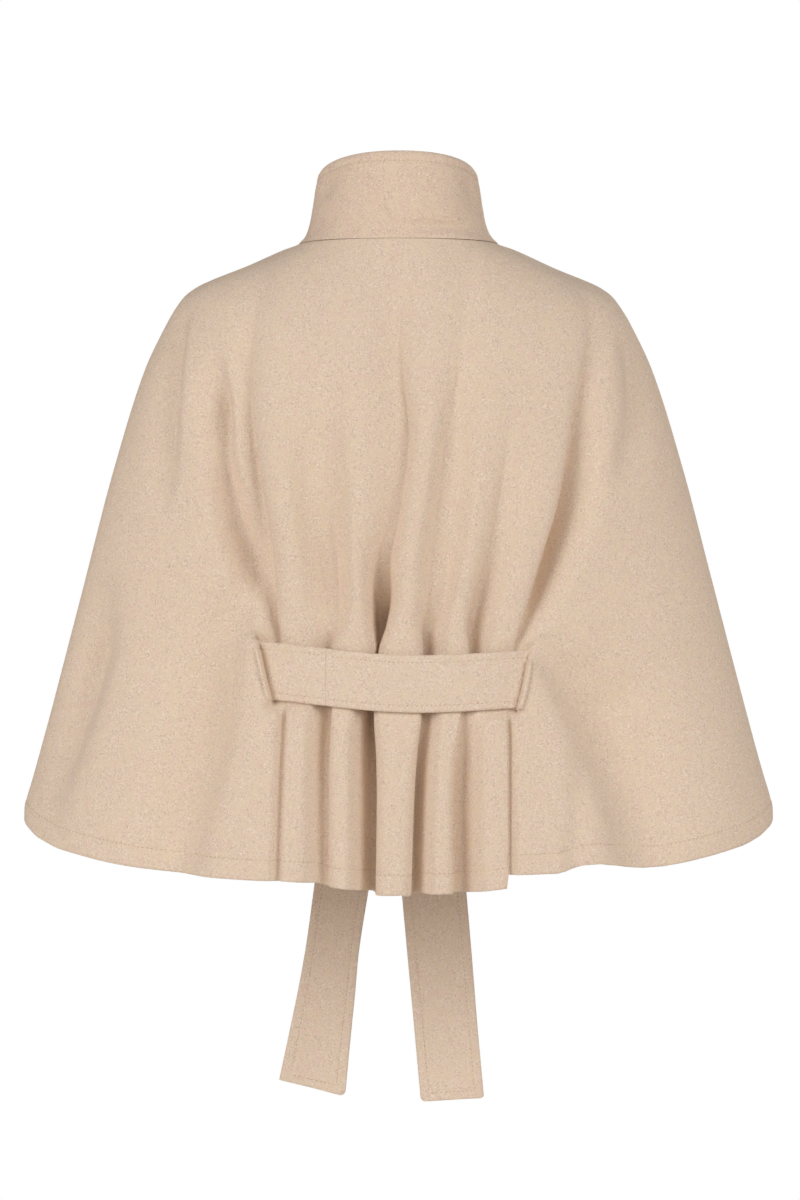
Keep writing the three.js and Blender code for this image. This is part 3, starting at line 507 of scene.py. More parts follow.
def cloth_panel(columns, heights, place, slots, slot_rows, side_columns):
    """A slotted panel in its worn place, laid out in columns and rows of cloth, and which of its points
    lie on its neck edge, its last row."""
    width, height = sum(columns), len(heights) - 1
    bm, across, down = cloth_grid(width, height)
    cut = []
    for face in bm.faces:
        middle = face.calc_center_median()
        column, row = int((middle.x + 0.5) * width), int((0.5 - middle.y) * height)
        if column in slots and slot_rows[0] - 1e-6 < heights[row] < slot_rows[1] - 1e-6:
            cut.append(face)
    worn = place(across, heights[np.rint(down * height).astype(int)])
    at_side = np.isin(np.rint(across * width).astype(int), side_columns)
    worn[at_side, 1] = np.sign(worn[:, 1].mean()) * SEAM_GAP / 2
    put_in_place(bm, worn)
    bmesh.ops.delete(bm, geom=cut, context="FACES")
    return bm, np.arange(len(bm.verts)) >= len(bm.verts) - width - 1


def sewn_object(name, bm, material, thickness, offset=-1, fullness=None, flush=None):
    """Makes a sheet an object and thickens it. fullness gives each point's share of the thickness, and
    flush is true for points on an edge that meets the next piece face to face."""
    middle = sum((f.calc_center_median() for f in bm.faces), Vector()) / len(bm.faces)
    outward = sum(f.normal.dot(f.calc_center_median() - Vector((0, 0, middle.z))) for f in bm.faces)
    if outward < 0:
        bmesh.ops.reverse_faces(bm, faces=bm.faces[:])
    sheet = bpy.data.meshes.new(name)
    bm.to_mesh(sheet)
    bm.free()
    piece = bpy.data.objects.new(name, sheet)
    bpy.context.collection.objects.link(piece)
    wall = piece.modifiers.new("cloth thickness", "SOLIDIFY")
    wall.thickness = thickness * MM
    wall.offset = offset
    if fullness is not None:
        group = piece.vertex_groups.new(name="fullness")
        for index, share in enumerate(fullness):
            group.add([index], float(share), "REPLACE")
        wall.vertex_group = "fullness"
    piece.data = bpy.data.meshes.new_from_object(piece.evaluated_get(bpy.context.evaluated_depsgraph_get()))
    piece.modifiers.clear()
    piece.vertex_groups.clear()
    piece.data.shade_smooth()
    piece.data.materials.append(material)
    if flush is not None:
        for edge in piece.data.edges:
            edge.use_edge_sharp = all(flush[i % len(flush)] for i in edge.vertices)
    return piece


DARK_FIBRES, PALE_FIBRES = (0.50, 0.35, 0.25, 1), (0.92, 0.80, 0.67, 1)
ROSY_PATCHES, STRAW_PATCHES = (0.77, 0.56, 0.46, 1), (0.76, 0.62, 0.44, 1)


def heathered_wool():
    """Shader group: mottled colour, nap height and roughness of brushed wool, in object coordinates."""
    group = bpy.data.node_groups.new("heathered wool", "ShaderNodeTree")
    for name, kind, value in (
        ("Wool", "NodeSocketColor", (0.73, 0.58, 0.45, 1)),
        ("Fleck", "NodeSocketFloat", 0.5),
    ):
        group.interface.new_socket(name, in_out="INPUT", socket_type=kind).default_value = value
    outputs = {"Color": "NodeSocketColor", "Nap": "NodeSocketFloat", "Roughness": "NodeSocketFloat"}
    for name, kind in outputs.items():
        group.interface.new_socket(name, in_out="OUTPUT", socket_type=kind)
    nodes, links = group.nodes, group.links
    given, made = nodes.new("NodeGroupInput"), nodes.new("NodeGroupOutput")
    place = nodes.new("ShaderNodeTexCoord")

    def noise(scale, detail, roughness, stretch=(1, 1, 1)):
        turned = nodes.new("ShaderNodeMapping")
        turned.inputs["Scale"].default_value = stretch
        links.new(place.outputs["Object"], turned.inputs["Vector"])
        texture = nodes.new("ShaderNodeTexNoise")
        texture.inputs["Scale"].default_value = scale
        texture.inputs["Detail"].default_value = detail
        texture.inputs["Roughness"].default_value = roughness
        links.new(turned.outputs["Vector"], texture.inputs["Vector"])
        return texture.outputs["Fac"]

    def ramp(value, low, high, low_to, high_to):
        spread = nodes.new("ShaderNodeMapRange")
        for name, number in zip(("From Min", "From Max", "To Min", "To Max"), (low, high, low_to, high_to)):
            spread.inputs[name].default_value = number
        links.new(value, spread.inputs["Value"])
        return spread.outputs["Result"]

    def times(value, other):
        product = nodes.new("ShaderNodeMath")
        product.operation = "MULTIPLY"
        links.new(value, product.inputs[0])
        links.new(other, product.inputs[1])
        return product.outputs[0]

    def tint(base, color, share):
        mix = nodes.new("ShaderNodeMix")
        mix.data_type = "RGBA"
        links.new(share, mix.inputs["Factor"])
        links.new(base, mix.inputs[6])
        mix.inputs[7].default_value = color
        return mix.outputs[2]

    fleck = given.outputs["Fleck"]
    color = given.outputs["Wool"]
    color = tint(color, DARK_FIBRES, times(ramp(noise(700, 3, 0.7), 0.46, 0.68, 0, 1), fleck))
    color = tint(color, PALE_FIBRES, times(ramp(noise(640, 3, 0.7), 0.49, 0.7, 0, 1), fleck))
    color = tint(color, ROSY_PATCHES, ramp(noise(140, 3, 0.6), 0.44, 0.68, 0, 0.55))
    color = tint(color, STRAW_PATCHES, ramp(noise(105, 3, 0.6, (1, 1.1, 0.9)), 0.46, 0.68, 0, 0.62))
    links.new(color, made.inputs["Color"])

    nap = nodes.new("ShaderNodeMath")
    nap.operation = "ADD"
    links.new(noise(700, 4, 0.7), nap.inputs[0])
    links.new(ramp(noise(150, 3, 0.55), 0.3, 0.7, 0, 0.7), nap.inputs[1])
    links.new(nap.outputs[0], made.inputs["Nap"])
    links.new(ramp(noise(300, 2, 0.5), 0.3, 0.7, 0.86, 0.98), made.inputs["Roughness"])
    return group


HEATHERED_WOOL = heathered_wool()


def wool_material(name, color, fleck):
    """Brushed wool of one colour, with the soft edge glow of its nap."""
    material = bpy.data.materials.new(name)
    material.use_nodes = True
    nodes, links = material.node_tree.nodes, material.node_tree.links
    shader = nodes["Principled BSDF"]
    shader.inputs["Specular IOR Level"].default_value = 0.12
    shader.inputs["Sheen Weight"].default_value = 0.04
    shader.inputs["Sheen Roughness"].default_value = 0.55
    shader.inputs["Sheen Tint"].default_value = (1, 0.93, 0.85, 1)
    wool = nodes.new("ShaderNodeGroup")
    wool.node_tree = HEATHERED_WOOL
    wool.inputs["Wool"].default_value = color
    wool.inputs["Fleck"].default_value = fleck
    bump = nodes.new("ShaderNodeBump")
    bump.inputs["Strength"].default_value = 0.5
    bump.inputs["Distance"].default_value = 0.0012
    links.new(wool.outputs["Color"], shader.inputs["Base Color"])
    links.new(wool.outputs["Roughness"], shader.inputs["Roughness"])
    links.new(wool.outputs["Nap"], bump.inputs["Height"])
    links.new(bump.outputs["Normal"], shader.inputs["Normal"])
    return material


THREAD = wool_material("thread", (0.56, 0.41, 0.25, 1), 0.2)
STITCH_LENGTH, STITCH_GAP, STITCH_WIDTH = 3, 1.4, 1


def stitching(name, rows):
    """Sewn stitches as one piece: each row is points in millimetres and the ways out of the cloth there."""
    bm = bmesh.new()
    for points, outs in rows:
        walked = np.concatenate([[0], np.cumsum(np.linalg.norm(np.diff(points, axis=0), axis=1))])
        at = lambda values, place: Vector([np.interp(place, walked, column) for column in values.T])
        for start in np.arange(STITCH_GAP, walked[-1] - STITCH_LENGTH, STITCH_LENGTH + STITCH_GAP):
            along = at(points, start + STITCH_LENGTH) - at(points, start)
            middle = at(points, start + STITCH_LENGTH / 2)
            along.normalize()
            aside = at(outs, start).cross(along).normalized()
            half_length, half_width = STITCH_LENGTH / 2, STITCH_WIDTH / 2
            axes = (along * half_length, aside * half_width, along.cross(aside) * half_width)
            lay = Matrix([axis * MM for axis in axes]).transposed().to_4x4()
            lay.translation = middle * MM
            bmesh.ops.create_icosphere(bm, subdivisions=1, radius=1, matrix=lay)
    bmesh.ops.recalc_face_normals(bm, faces=bm.faces[:])
    mesh = bpy.data.meshes.new(name)
    bm.to_mesh(mesh)
    bm.free()
    mesh.shade_smooth()
    mesh.materials.append(THREAD)
    piece = bpy.data.objects.new(name, mesh)
    bpy.context.collection.objects.link(piece)
    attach(piece, "root")
    return piece


def surface_row(place, across, down, flip=1):
    """Points along a line on a piece, and the ways out of the cloth there."""
    step = 0.0015
    points = place(across, down)
    sideways = place(across + step, down) - place(across - step, down)
    downward = place(across, down + step) - place(across, down - step)
    outs = np.cross(downward, sideways) * flip
    return points, outs / np.linalg.norm(outs, axis=-1, keepdims=True)


def cells_of(columns, stretch):
    """The columns of cloth in one of a panel's stretches from line to line."""
    return range(sum(columns[:stretch]), sum(columns[:stretch + 1]))


back_width = sum(BACK_COLUMNS)
back_place = lambda across, down: back_surface(back_angles(across, down), down)
back_slot_columns = [*cells_of(BACK_COLUMNS, 2), *cells_of(BACK_COLUMNS, 10)]
back_bm, back_neck = cloth_panel(
    BACK_COLUMNS, rows_down(BACK_SLOT_TOP, BACK_SLOT_BOTTOM), back_place,
    back_slot_columns, (BACK_SLOT_TOP, BACK_SLOT_BOTTOM), (0, back_width),
)
FLECK = 0.85
BODY_WOOL = wool_material("body_wool", (0.765, 0.617, 0.488, 1), FLECK)
back = sewn_object("cape_back", back_bm, BODY_WOOL, CLOTH, flush=back_neck)
hem_line = np.linspace(0.003, 0.997, 3000)
hem_down = np.full_like(hem_line, 1 - HEM_STITCH / LENGTH_DOWN)
back_stitching = stitching("back_hem_stitching", [surface_row(back_place, hem_line, hem_down)])
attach(back, "root")
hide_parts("back")

# Fronts: two like panels of the same cloth, sewn to the back at the sides and to each other nowhere.
# The wearer's right one laps over the left one, and each has a slot that lets its belt end out.
LAP, LAP_EASE, LAP_FLAT = 34, 40, 6
LAP_STITCH, LAP_GROOVE, LAP_EDGE = 9, 0.8, 0.9
SOFT_SIDE = (0.8, 0.8, 0.8, 0.8, 0.8, 0.75, 0.75, 0.7, 0.75, 0.8, 0.8, 0.8)
CRISP_SIDE = (0.8, 0.8, 0.55, 0.45, 0.4, 0.3, 0.22, 0.15, 0.12, 0.12, 0.12, 0.15)
FRONT_FOLDS = [
    {"crisp": 1, "ridge": 0.5,
     "x": (60, 58, 60, 60, 60, 59, 58, 58, 58, 59, 61, 66),
     "floor": (0, 0, 0, 1, 2, 3, 3, 4, 4, 4, 4, 4),
     "depth": (0, 0, 0, 4, 7, 10, 13, 15, 17, 16, 15, 14), "left": SOFT_SIDE, "right": CRISP_SIDE},
    {"crisp": -1, "ridge": 0.55,
     "x": (84, 92, 96, 93, 91, 88, 86, 85, 86, 88, 93, 104),
     "floor": (0, 0, 0, 1, 2, 2, 3, 3, 3, 3, 4, 5),
     "depth": (0, 0, 1, 6, 9, 11, 13, 15, 14, 13, 12, 11), "left": CRISP_SIDE, "right": SOFT_SIDE},
    {"crisp": -1, "ridge": 0.5,
     "x": (108, 136, 138, 128, 122, 116, 112, 110, 111, 115, 123, 140),
     "floor": (0, 1, 3, 5, 5, 4, 3, 2, 2, 3, 4, 5),
     "depth": (0, 1, 7, 14, 16, 15, 13, 11, 9, 8, 8, 7), "left": CRISP_SIDE, "right": SOFT_SIDE},
]
FRONT_FOLD_REACH = (40, 50, 60, 62, 50, 34, 26, 20, 22, 26, 32, 40)
LEAST_REACH_IN, WAVE_SHIFT = 8, 90
FRONT_COLUMNS = (46, 4, 3, 6, 20, 22, 16, 38)
FRONT_SLOT_X = 120
FRONT_SLOT_TOP, FRONT_SLOT_BOTTOM = 0.61, 0.717
FRONT_HOLLOWS = [
    [(142, -80, 0, 20, 15), (160, -130, 8, 20, 15), (174, -190, 8, 20, 15), (176, -290, 0, 20, 15)],
    [(228, -200, 0, 20, 28), (238, -290, 9, 20, 28), (250, -370, 9, 20, 28), (268, -450, 0, 20, 28)],
    [(140, -440, 0, 16, 38), (160, -480, 11, 20, 38), (182, -530, 12, 20, 38), (206, -600, 8, 20, 38)],
    [(92, -75, 0, 16, 16), (70, -130, 4, 16, 16), (56, -200, 4, 16, 16), (50, -250, 0, 16, 16)],
]


def lap_share(x):
    return 1 - ease((x - LAP) / LAP_EASE)


def front_surface(angle, down, side):
    """Outer points of a front, where side is 1 for the wearer's right one, which lies on top."""
    points = smooth_cape(angle, down, "front")
    x, y, z = points.T.copy()
    x = x * side
    first_fold = curve_through(FOLD_HEIGHTS, FRONT_FOLDS[0]["x"], down)
    reach_in = np.maximum(LEAST_REACH_IN, first_fold - LAP - LAP_FLAT)
    reach_out = curve_through(FOLD_HEIGHTS, FRONT_FOLD_REACH, down)
    out = -np.where(x > 0, fold_depth(FRONT_FOLDS, x, down, reach_in, reach_out), 0)
    past_lap = ease((x - LAP) / LAP_EASE)
    out += (unevenness(x + WAVE_SHIFT * side, z) - hollow_depth(FRONT_HOLLOWS, x, z)) * past_lap
    below_neck = down * LENGTH_DOWN
    out *= ease(np.abs(y) / SIDE_FLAT) * ease(below_neck / NECK_FLAT)
    out += hem_relief(LENGTH_DOWN - below_neck) + neck_relief(below_neck)
    out -= SIDE_GROOVE * bell(y, SIDE_GROOVE_WIDTH)
    out -= LAP_GROOVE * bell(x + LAP - LAP_STITCH, GROOVE_WIDTH) + LAP_EDGE * bell(x + LAP, EDGE_WIDTH)
    layer = (CLOTH + 2 * SEAM_GAP) * lap_share(x)
    out += layer if side > 0 else 0
    points += smooth_cape_normal(angle, down, "front") * out[:, None]
    press_under_belt(points, FRONT_SLOT_X - SLOT_GAPE / 2, "front", 0 if side > 0 else layer)
    return points


def front_slot_edges(down):
    half = slot_half(slot_share(down, FRONT_SLOT_TOP, FRONT_SLOT_BOTTOM))
    last_fold = curve_through(FOLD_HEIGHTS, FRONT_FOLDS[-1]["x"], down)
    inner = np.maximum(FRONT_SLOT_X - half, last_fold + SLOT_ROOM)
    return inner, inner + 2 * half


def front_angles(across, down, side):
    """Angles on a front for shares across it, from the side seam to the lapped edge."""
    folds = [curve_through(FOLD_HEIGHTS, fold["x"], down) for fold in reversed(FRONT_FOLDS)]
    slot_in, slot_out = front_slot_edges(down)
    shrink = np.minimum(1, WIDEST_LINE * section("half_width", down) / (slot_out + LIP_WIDTH))
    places = [x * shrink for x in (slot_out + LIP_WIDTH, slot_out, slot_in, *folds)]
    places += [np.minimum(LAP + LAP_FLAT, places[-1] - LAP_FLAT), np.full_like(down, -LAP)]
    lines = [np.full_like(down, math.pi / 2)] + [angle_to(x, down) for x in places]
    return side * between_lines(lines, FRONT_COLUMNS, across)


front_heights = rows_down(FRONT_SLOT_TOP, FRONT_SLOT_BOTTOM)
lap_line = np.linspace(0.004, 1 - HEM_STITCH / LENGTH_DOWN, 2500)
for name, side in (("right", 1), ("left", -1)):
    def front_place(across, down, side=side):
        return front_surface(front_angles(across, down, side), down, side)

    front_bm, front_neck = cloth_panel(
        FRONT_COLUMNS, front_heights, front_place,
        cells_of(FRONT_COLUMNS, 2), (FRONT_SLOT_TOP, FRONT_SLOT_BOTTOM), (0,),
    )
    front = sewn_object(f"cape_front_{name}", front_bm, BODY_WOOL, CLOTH, flush=front_neck)
    hem_row = surface_row(front_place, hem_line, hem_down, side)
    on_lap = lambda down, side=side: angle_to(np.full_like(down, LAP_STITCH - LAP), down) * side
    lap_place = lambda aside, down, side=side: front_surface(on_lap(down) + aside, down, side)
    lap_row = surface_row(lap_place, np.zeros_like(lap_line), lap_line, -1)
    front_stitching = stitching(f"front_{name}_stitching", [hem_row, lap_row])
    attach(front, "root")
    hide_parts(f"front_{name}")

# Collar: one doubled strip of the same wool, folded at the rim, standing from the neck seam.
# It is top-stitched under the rim, and its ends lap like the fronts.
COLLAR_CLOTH = 4.4
COLLAR_COLUMNS = ("up", "half_width", "back_y", "front_y")
COLLAR_ROWS = [
    (0, 97, -72, 76),
    (0.1, 91, -70.5, 76),
    (0.28, 86, -69.5, 78),
    (0.55, 82.5, -69, 81),
    (0.8, 80, -68, 83),
    (1, 77.5, -66, 83),
]
COLLAR = dict(zip(COLLAR_COLUMNS, np.array(COLLAR_ROWS).T))
RIM_BACK_Z, RIM_SLOPE = 81, 0.287
COLLAR_HEIGHT = 84
COLLAR_STITCH = 9.5
COLLAR_SEAM = 0.012
COLLAR_STITCH_PULL, COLLAR_EDGE_THIN, LEAST_FULL = 0.34, 0.5, 0.2
COLLAR_WAVE, COLLAR_ROLL, COLLAR_LAP_RISE = 1.1, 0.15, 0.6
COLLAR_THREAD_OUT = 0.33
COLLAR_CELLS = (260, 60)

# Dents of the worn collar: the turn from centre back and the share of the way up where each lies
COLLAR_DENT_DEPTH = 4
COLLAR_DENTS = [
    {"turn": 0.45, "turn_width": 0.6, "up": 13 / COLLAR_HEIGHT, "up_width": 6 / COLLAR_HEIGHT},
    {"turn": 1.05, "turn_width": 0.22, "up": 0.62, "up_width": 0.2},
    {"turn": -1, "turn_width": 0.2, "up": 0.7, "up_width": 0.14},
]
COLLAR_END = math.pi + math.asin((LAP / COLLAR["half_width"][0]) ** (ROUNDNESS / 2))


def collar_surface(across, down):
    """Middle points of the collar's doubled cloth."""
    angle, up = COLLAR_END * (2 * across - 1), 1 - down
    is_front = np.cos(angle) < 0
    sideways = np.sign(np.sin(angle)) * np.abs(np.sin(angle)) ** (2 / ROUNDNESS)
    depth = np.abs(np.cos(angle)) ** (2 / ROUNDNESS)
    sizes = [curve_through(COLLAR["up"], COLLAR[name], up) for name in COLLAR_COLUMNS[1:]]
    half_width, back_y, front_y = sizes
    x, y = half_width * sideways, np.where(is_front, front_y, back_y) * depth
    neck = {name: SECTIONS[name][0] for name in SECTION_COLUMNS}
    end_z = np.where(is_front, neck["front_z"], neck["back_z"])
    seam_z = neck["side_z"] + (end_z - neck["side_z"]) * np.cos(angle) ** 2
    rim_back, rim_front = COLLAR["back_y"][-1], COLLAR["front_y"][-1]
    rim_z = RIM_BACK_Z - RIM_SLOPE * (np.where(is_front, rim_front, rim_back) * depth - rim_back)
    lapped = np.where(is_front & (angle > 0), lap_share(np.where(angle > math.pi, 0, x)), 0)
    z = seam_z + (rim_z - seam_z) * up + COLLAR_SEAM + COLLAR_LAP_RISE * CLOTH * lapped * (1 - up)
    out = np.stack([x / neck["half_width"] ** 2, y / neck["front_y"] ** 2], axis=-1)
    out /= np.linalg.norm(out, axis=-1, keepdims=True)
    soft = COLLAR_WAVE * np.sin(angle * 3 + 0.8) * ease(up * 3)
    for dent in COLLAR_DENTS:
        aside = bell(angle - dent["turn"], dent["turn_width"])
        soft -= COLLAR_DENT_DEPTH * aside * bell(up - dent["up"], dent["up_width"])
    roll = COLLAR_ROLL * bell(up * COLLAR_HEIGHT - 2.5, 1.8)
    lift = (COLLAR_CLOTH + 2 * SEAM_GAP) * lapped - COLLAR_CLOTH / 2 + soft * (1 - lapped) + roll
    return np.stack([x + out[:, 0] * lift, y + out[:, 1] * lift, z], axis=-1)


collar_bm, collar_across, collar_down = cloth_grid(*COLLAR_CELLS)
collar_rim = collar_down * COLLAR_HEIGHT
collar_end = np.minimum(collar_across, 1 - collar_across) * 2 * COLLAR_END * COLLAR["front_y"][0]
collar_full = np.ones_like(collar_rim)
for from_edge, stitch_width in ((collar_rim, 1.5), (collar_end, 1.8)):
    collar_full -= COLLAR_STITCH_PULL * bell(from_edge - COLLAR_STITCH, stitch_width)
    collar_full -= COLLAR_EDGE_THIN * bell(from_edge, 1.6)
put_in_place(collar_bm, collar_surface(collar_across, collar_down))
at_neck = collar_down > 1 - 1e-6
collar_full = np.clip(collar_full, LEAST_FULL, 1)
COLLAR_WOOL = wool_material("collar_wool", (0.735, 0.567, 0.445, 1), FLECK)
collar = sewn_object("collar_stand", collar_bm, COLLAR_WOOL, COLLAR_CLOTH, 0, collar_full, at_neck)
rim_across = np.linspace(0.01, 0.99, 1600)
rim_down = np.full_like(rim_across, COLLAR_STITCH / COLLAR_HEIGHT)
rim_points, rim_outs = surface_row(collar_surface, rim_across, rim_down)
rim_out = COLLAR_CLOTH * COLLAR_THREAD_OUT
rim_rows = [(rim_points + rim_outs * side * rim_out, rim_outs) for side in (1, -1)]
collar_stitching = stitching("collar_stitching", rim_rows)
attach(collar, "root")
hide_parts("collar")

# Slot lips: narrow welts of the same wool, one folded over the outer edge of each belt slot and
# top-stitched down, so that the belt slips in and out without fraying the cut.
LIP_HEIGHT = 1.7
LIP_OVERHANG = 2.5
LIP_CLOTH = 1.4
LIP_STITCH, LIP_GROOVE, LIP_GROOVE_WIDTH = 0.84, 0.45, 0.1
LIP_INSET, LIP_CELLS = 0.01, (14, 60)
LIP_SQUARENESS, LIP_END_SLOPE = 5, 12


def lip_surface(across, down, lip):
    """Points of a rounded welt that starts over a slot's opening and ends on the panel beside it."""
    surface, end, top, bottom = lip["panel"]
    side = lip["side"]
    height = top + (bottom - top) * (down * (1 - 2 * LIP_INSET) + LIP_INSET)
    inner, outer = lip["edges"](height)
    x = (outer if side > 0 else inner) + side * (across * (LIP_WIDTH + LIP_OVERHANG) - LIP_OVERHANG)
    angle = angle_to(x, height)
    ends = np.minimum(1, LIP_END_SLOPE * np.minimum(down, 1 - down))
    crown = (1 - np.abs(2 * across - 1) ** LIP_SQUARENESS) ** 0.5 * ends ** 0.5
    crown -= LIP_GROOVE * bell(across - LIP_STITCH, LIP_GROOVE_WIDTH)
    out = smooth_cape_normal(angle, height, end) * (SEAM_GAP + LIP_HEIGHT * crown)[:, None]
    return surface(angle, height) + out


def sorted_pair(side, edges):
    """A pair of edges on the right as the like pair on the given side, from left to right."""
    return edges if side > 0 else (-edges[1], -edges[0])


back_lip = (back_surface, "back", BACK_SLOT_TOP, BACK_SLOT_BOTTOM)
SLOT_LIPS = [
    {"name": "back_left", "side": -1, "panel": back_lip, "edges": lambda down: back_slot_edges(down)[:2]},
    {"name": "back_right", "side": 1, "panel": back_lip, "edges": lambda down: back_slot_edges(down)[2:]},
]
for name, side in (("front_right", 1), ("front_left", -1)):
    on_front = lambda angle, down, side=side: front_surface(angle, down, side)
    front_lip = (on_front, "front", FRONT_SLOT_TOP, FRONT_SLOT_BOTTOM)
    edges = lambda down, side=side: sorted_pair(side, front_slot_edges(down))
    SLOT_LIPS.append({"name": name, "side": side, "panel": front_lip, "edges": edges})
for lip in SLOT_LIPS:
    lip_place = lambda across, down: lip_surface(across, down, lip)
    lip_bm, lip_across, lip_down = cloth_grid(*LIP_CELLS)
    put_in_place(lip_bm, lip_place(lip_across, lip_down))
    lip_piece = sewn_object(f"lip_{lip['name']}", lip_bm, BODY_WOOL, LIP_CLOTH)
    lip_line = np.linspace(0.03, 0.97, 300)
    facing = lip["side"] * (1 if lip["panel"] is back_lip else -1)
    lip_row = surface_row(lip_place, np.full_like(lip_line, LIP_STITCH), lip_line, facing)
    lip_stitching = stitching(f"lip_{lip['name']}_stitching", [lip_row])
    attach(lip_piece, "root")
    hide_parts(f"slot_lip_{lip['name']}")

# Belt: two doubled strips of the wool, pieced at the back and top-stitched along both edges. Each goes
# in through a back slot, round the waist under the cape and out through a front slot to the knot.
BELT_JOIN_X = -70
BELT_STITCH = 6.8
KNOT_HALF_WIDTH = 24
KNOT_ANGLE = math.pi - math.atan2(KNOT_HALF_WIDTH + BELT_GAP, BELT_FRONT_Y)
JOIN_ANGLE = math.atan2(BELT_JOIN_X, BELT_BACK_Y)
JOIN_GAP = 0.05 / BELT_BACK_Y
JOIN_DIP = 0.5
BELT_WAVE = 0.35
KNOT_PULL_REACH, KNOT_PULL_NARROWS, KNOT_PULL_CREASE = 0.35, 0.14, 0.9
STRIP_STITCH_PULL, STRIP_EDGE_THIN = 0.2, 0.4
BELT_THREAD_OUT = 0.4
BELT_STRIPS = [
    {"name": "belt_short", "from": -KNOT_ANGLE, "to": JOIN_ANGLE - JOIN_GAP, "columns": 150, "cut": 0.41},
    {"name": "belt_long", "from": JOIN_ANGLE + JOIN_GAP, "to": KNOT_ANGLE, "columns": 210, "cut": 0.55},
]
BELT_ROWS = 36


def belt_surface(across, down, strip):
    """Middle points of a strip's doubled cloth, gathered into soft creases where it nears the knot."""
    angle = strip["from"] + (strip["to"] - strip["from"]) * across
    middle = belt_line(angle)
    ahead = belt_line(angle + 1e-3) - middle
    out = np.stack([ahead[:, 1], -ahead[:, 0], np.zeros_like(angle)], axis=-1)
    out /= np.linalg.norm(out, axis=-1, keepdims=True)
    near_knot = ease(1 - (KNOT_ANGLE - np.abs(angle)) / KNOT_PULL_REACH)
    bend = BELT_WAVE * np.sin(angle * 9 + 1) * np.sin(down * 3.1)
    bend += KNOT_PULL_CREASE * near_knot * np.sin(down * 17 + angle * 3)
    height = (0.5 - down) * BELT_WIDTH * (1 - KNOT_PULL_NARROWS * near_knot)
    return middle + out * bend[:, None] + np.stack([0 * down, 0 * down, height], axis=-1)


def strip_fullness(from_edges, stitch_lines):
    """Share of the thickness of a doubled strip, thin at its turned edges and pulled in by its stitches."""
    full = 1 - sum(STRIP_STITCH_PULL * bell(away, 1.2) for away in stitch_lines)
    full = full - sum(STRIP_EDGE_THIN * bell(away, 1.1) for away in from_edges)
    return np.clip(full, LEAST_FULL, 1)


BELT_WOOL = wool_material("belt_wool", (0.775, 0.635, 0.51, 1), FLECK)
for strip in BELT_STRIPS:
    strip_place = lambda across, down: belt_surface(across, down, strip)
    strip_bm, strip_across, strip_down = cloth_grid(strip["columns"], BELT_ROWS)
    put_in_place(strip_bm, strip_place(strip_across, strip_down))
    top, bottom = strip_down * BELT_WIDTH, (1 - strip_down) * BELT_WIDTH
    full = strip_fullness((top, bottom), (top - BELT_STITCH, bottom - BELT_STITCH))
    at_ends = np.abs(strip_across - 0.5) > 0.5 - 1e-6
    full[at_ends] -= JOIN_DIP
    strip_piece = sewn_object(strip["name"] + "_strip", strip_bm, BELT_WOOL, BELT_CLOTH, 0, full, at_ends)
    strip_line = np.linspace(0.008, 0.992, 1500)
    strip_rows = []
    for height in (BELT_STITCH, BELT_WIDTH - BELT_STITCH):
        points, outs = surface_row(strip_place, strip_line, np.full_like(strip_line, height / BELT_WIDTH))
        strip_rows.append((points + outs * BELT_CLOTH * BELT_THREAD_OUT, outs))
    strip_stitching = stitching(strip["name"] + "_stitching", strip_rows)
    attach(strip_piece, "root")
    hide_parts(strip["name"])

# Knot: the two belt ends crossed once and drawn tight over the lap, the upper one wrapped round the
# other so that its pleated cloth shows as a soft slanting pad.
KNOT_BACK_Y = 125.2
KNOT_UP = (33.6, 33, 28.5, 14, -4, -18, -28.5, -33, -33.6)
KNOT_HALF = (6, 15, 24, 24, 24, 24, 24, 19, 8)
KNOT_BULGE = (0.5, 6, 13, 19, 21, 18, 13, 7, 0.5)
KNOT_CREASES = [
    {"at": 0.14, "slant": 0.05, "depth": 2.6, "width": 0.035},
    {"at": 0.32, "slant": 0.10, "depth": 1.8, "width": 0.03},
    {"at": 0.52, "slant": 0.13, "depth": 2.2, "width": 0.035},
    {"at": 0.69, "slant": 0.10, "depth": 1.5, "width": 0.03},
    {"at": 0.87, "slant": 0.04, "depth": 2.6, "width": 0.035},
]
KNOT_CLOTH, KNOT_CELLS = 3, (96, 72)
KNOT_HALF_HEIGHT = 33
KNOT_FLATNESS, KNOT_CREASE_START, KNOT_LEAST_SWELL = 0.6, 8, 0.2


def knot_surface(across, down):
    """Outer points of the knot's pad, from one side of it to the other."""
    up = KNOT_UP[0] + (KNOT_UP[-1] - KNOT_UP[0]) * down
    heights = np.array(KNOT_UP[::-1])
    half, bulge = [np.interp(up, heights, values[::-1]) for values in (KNOT_HALF, KNOT_BULGE)]
    turn = math.pi * across
    crease = np.zeros_like(across)
    for fold in KNOT_CREASES:
        place = fold["at"] + fold["slant"] * up / KNOT_HALF_HEIGHT
        crease += fold["depth"] * bell(across - place, fold["width"])
    swell = bulge * np.maximum(0, np.sin(turn)) ** KNOT_FLATNESS
    swell = np.maximum(KNOT_LEAST_SWELL, swell - crease * ease(swell / KNOT_CREASE_START))
    return np.stack([half * np.cos(turn), KNOT_BACK_Y + swell, BELT_Z + up], axis=-1)


knot_bm, knot_across, knot_down = cloth_grid(*KNOT_CELLS)
put_in_place(knot_bm, knot_surface(knot_across, knot_down))
knot = sewn_object("belt_knot_wrap", knot_bm, BELT_WOOL, KNOT_CLOTH)
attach(knot, "root")
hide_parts("belt_knot")

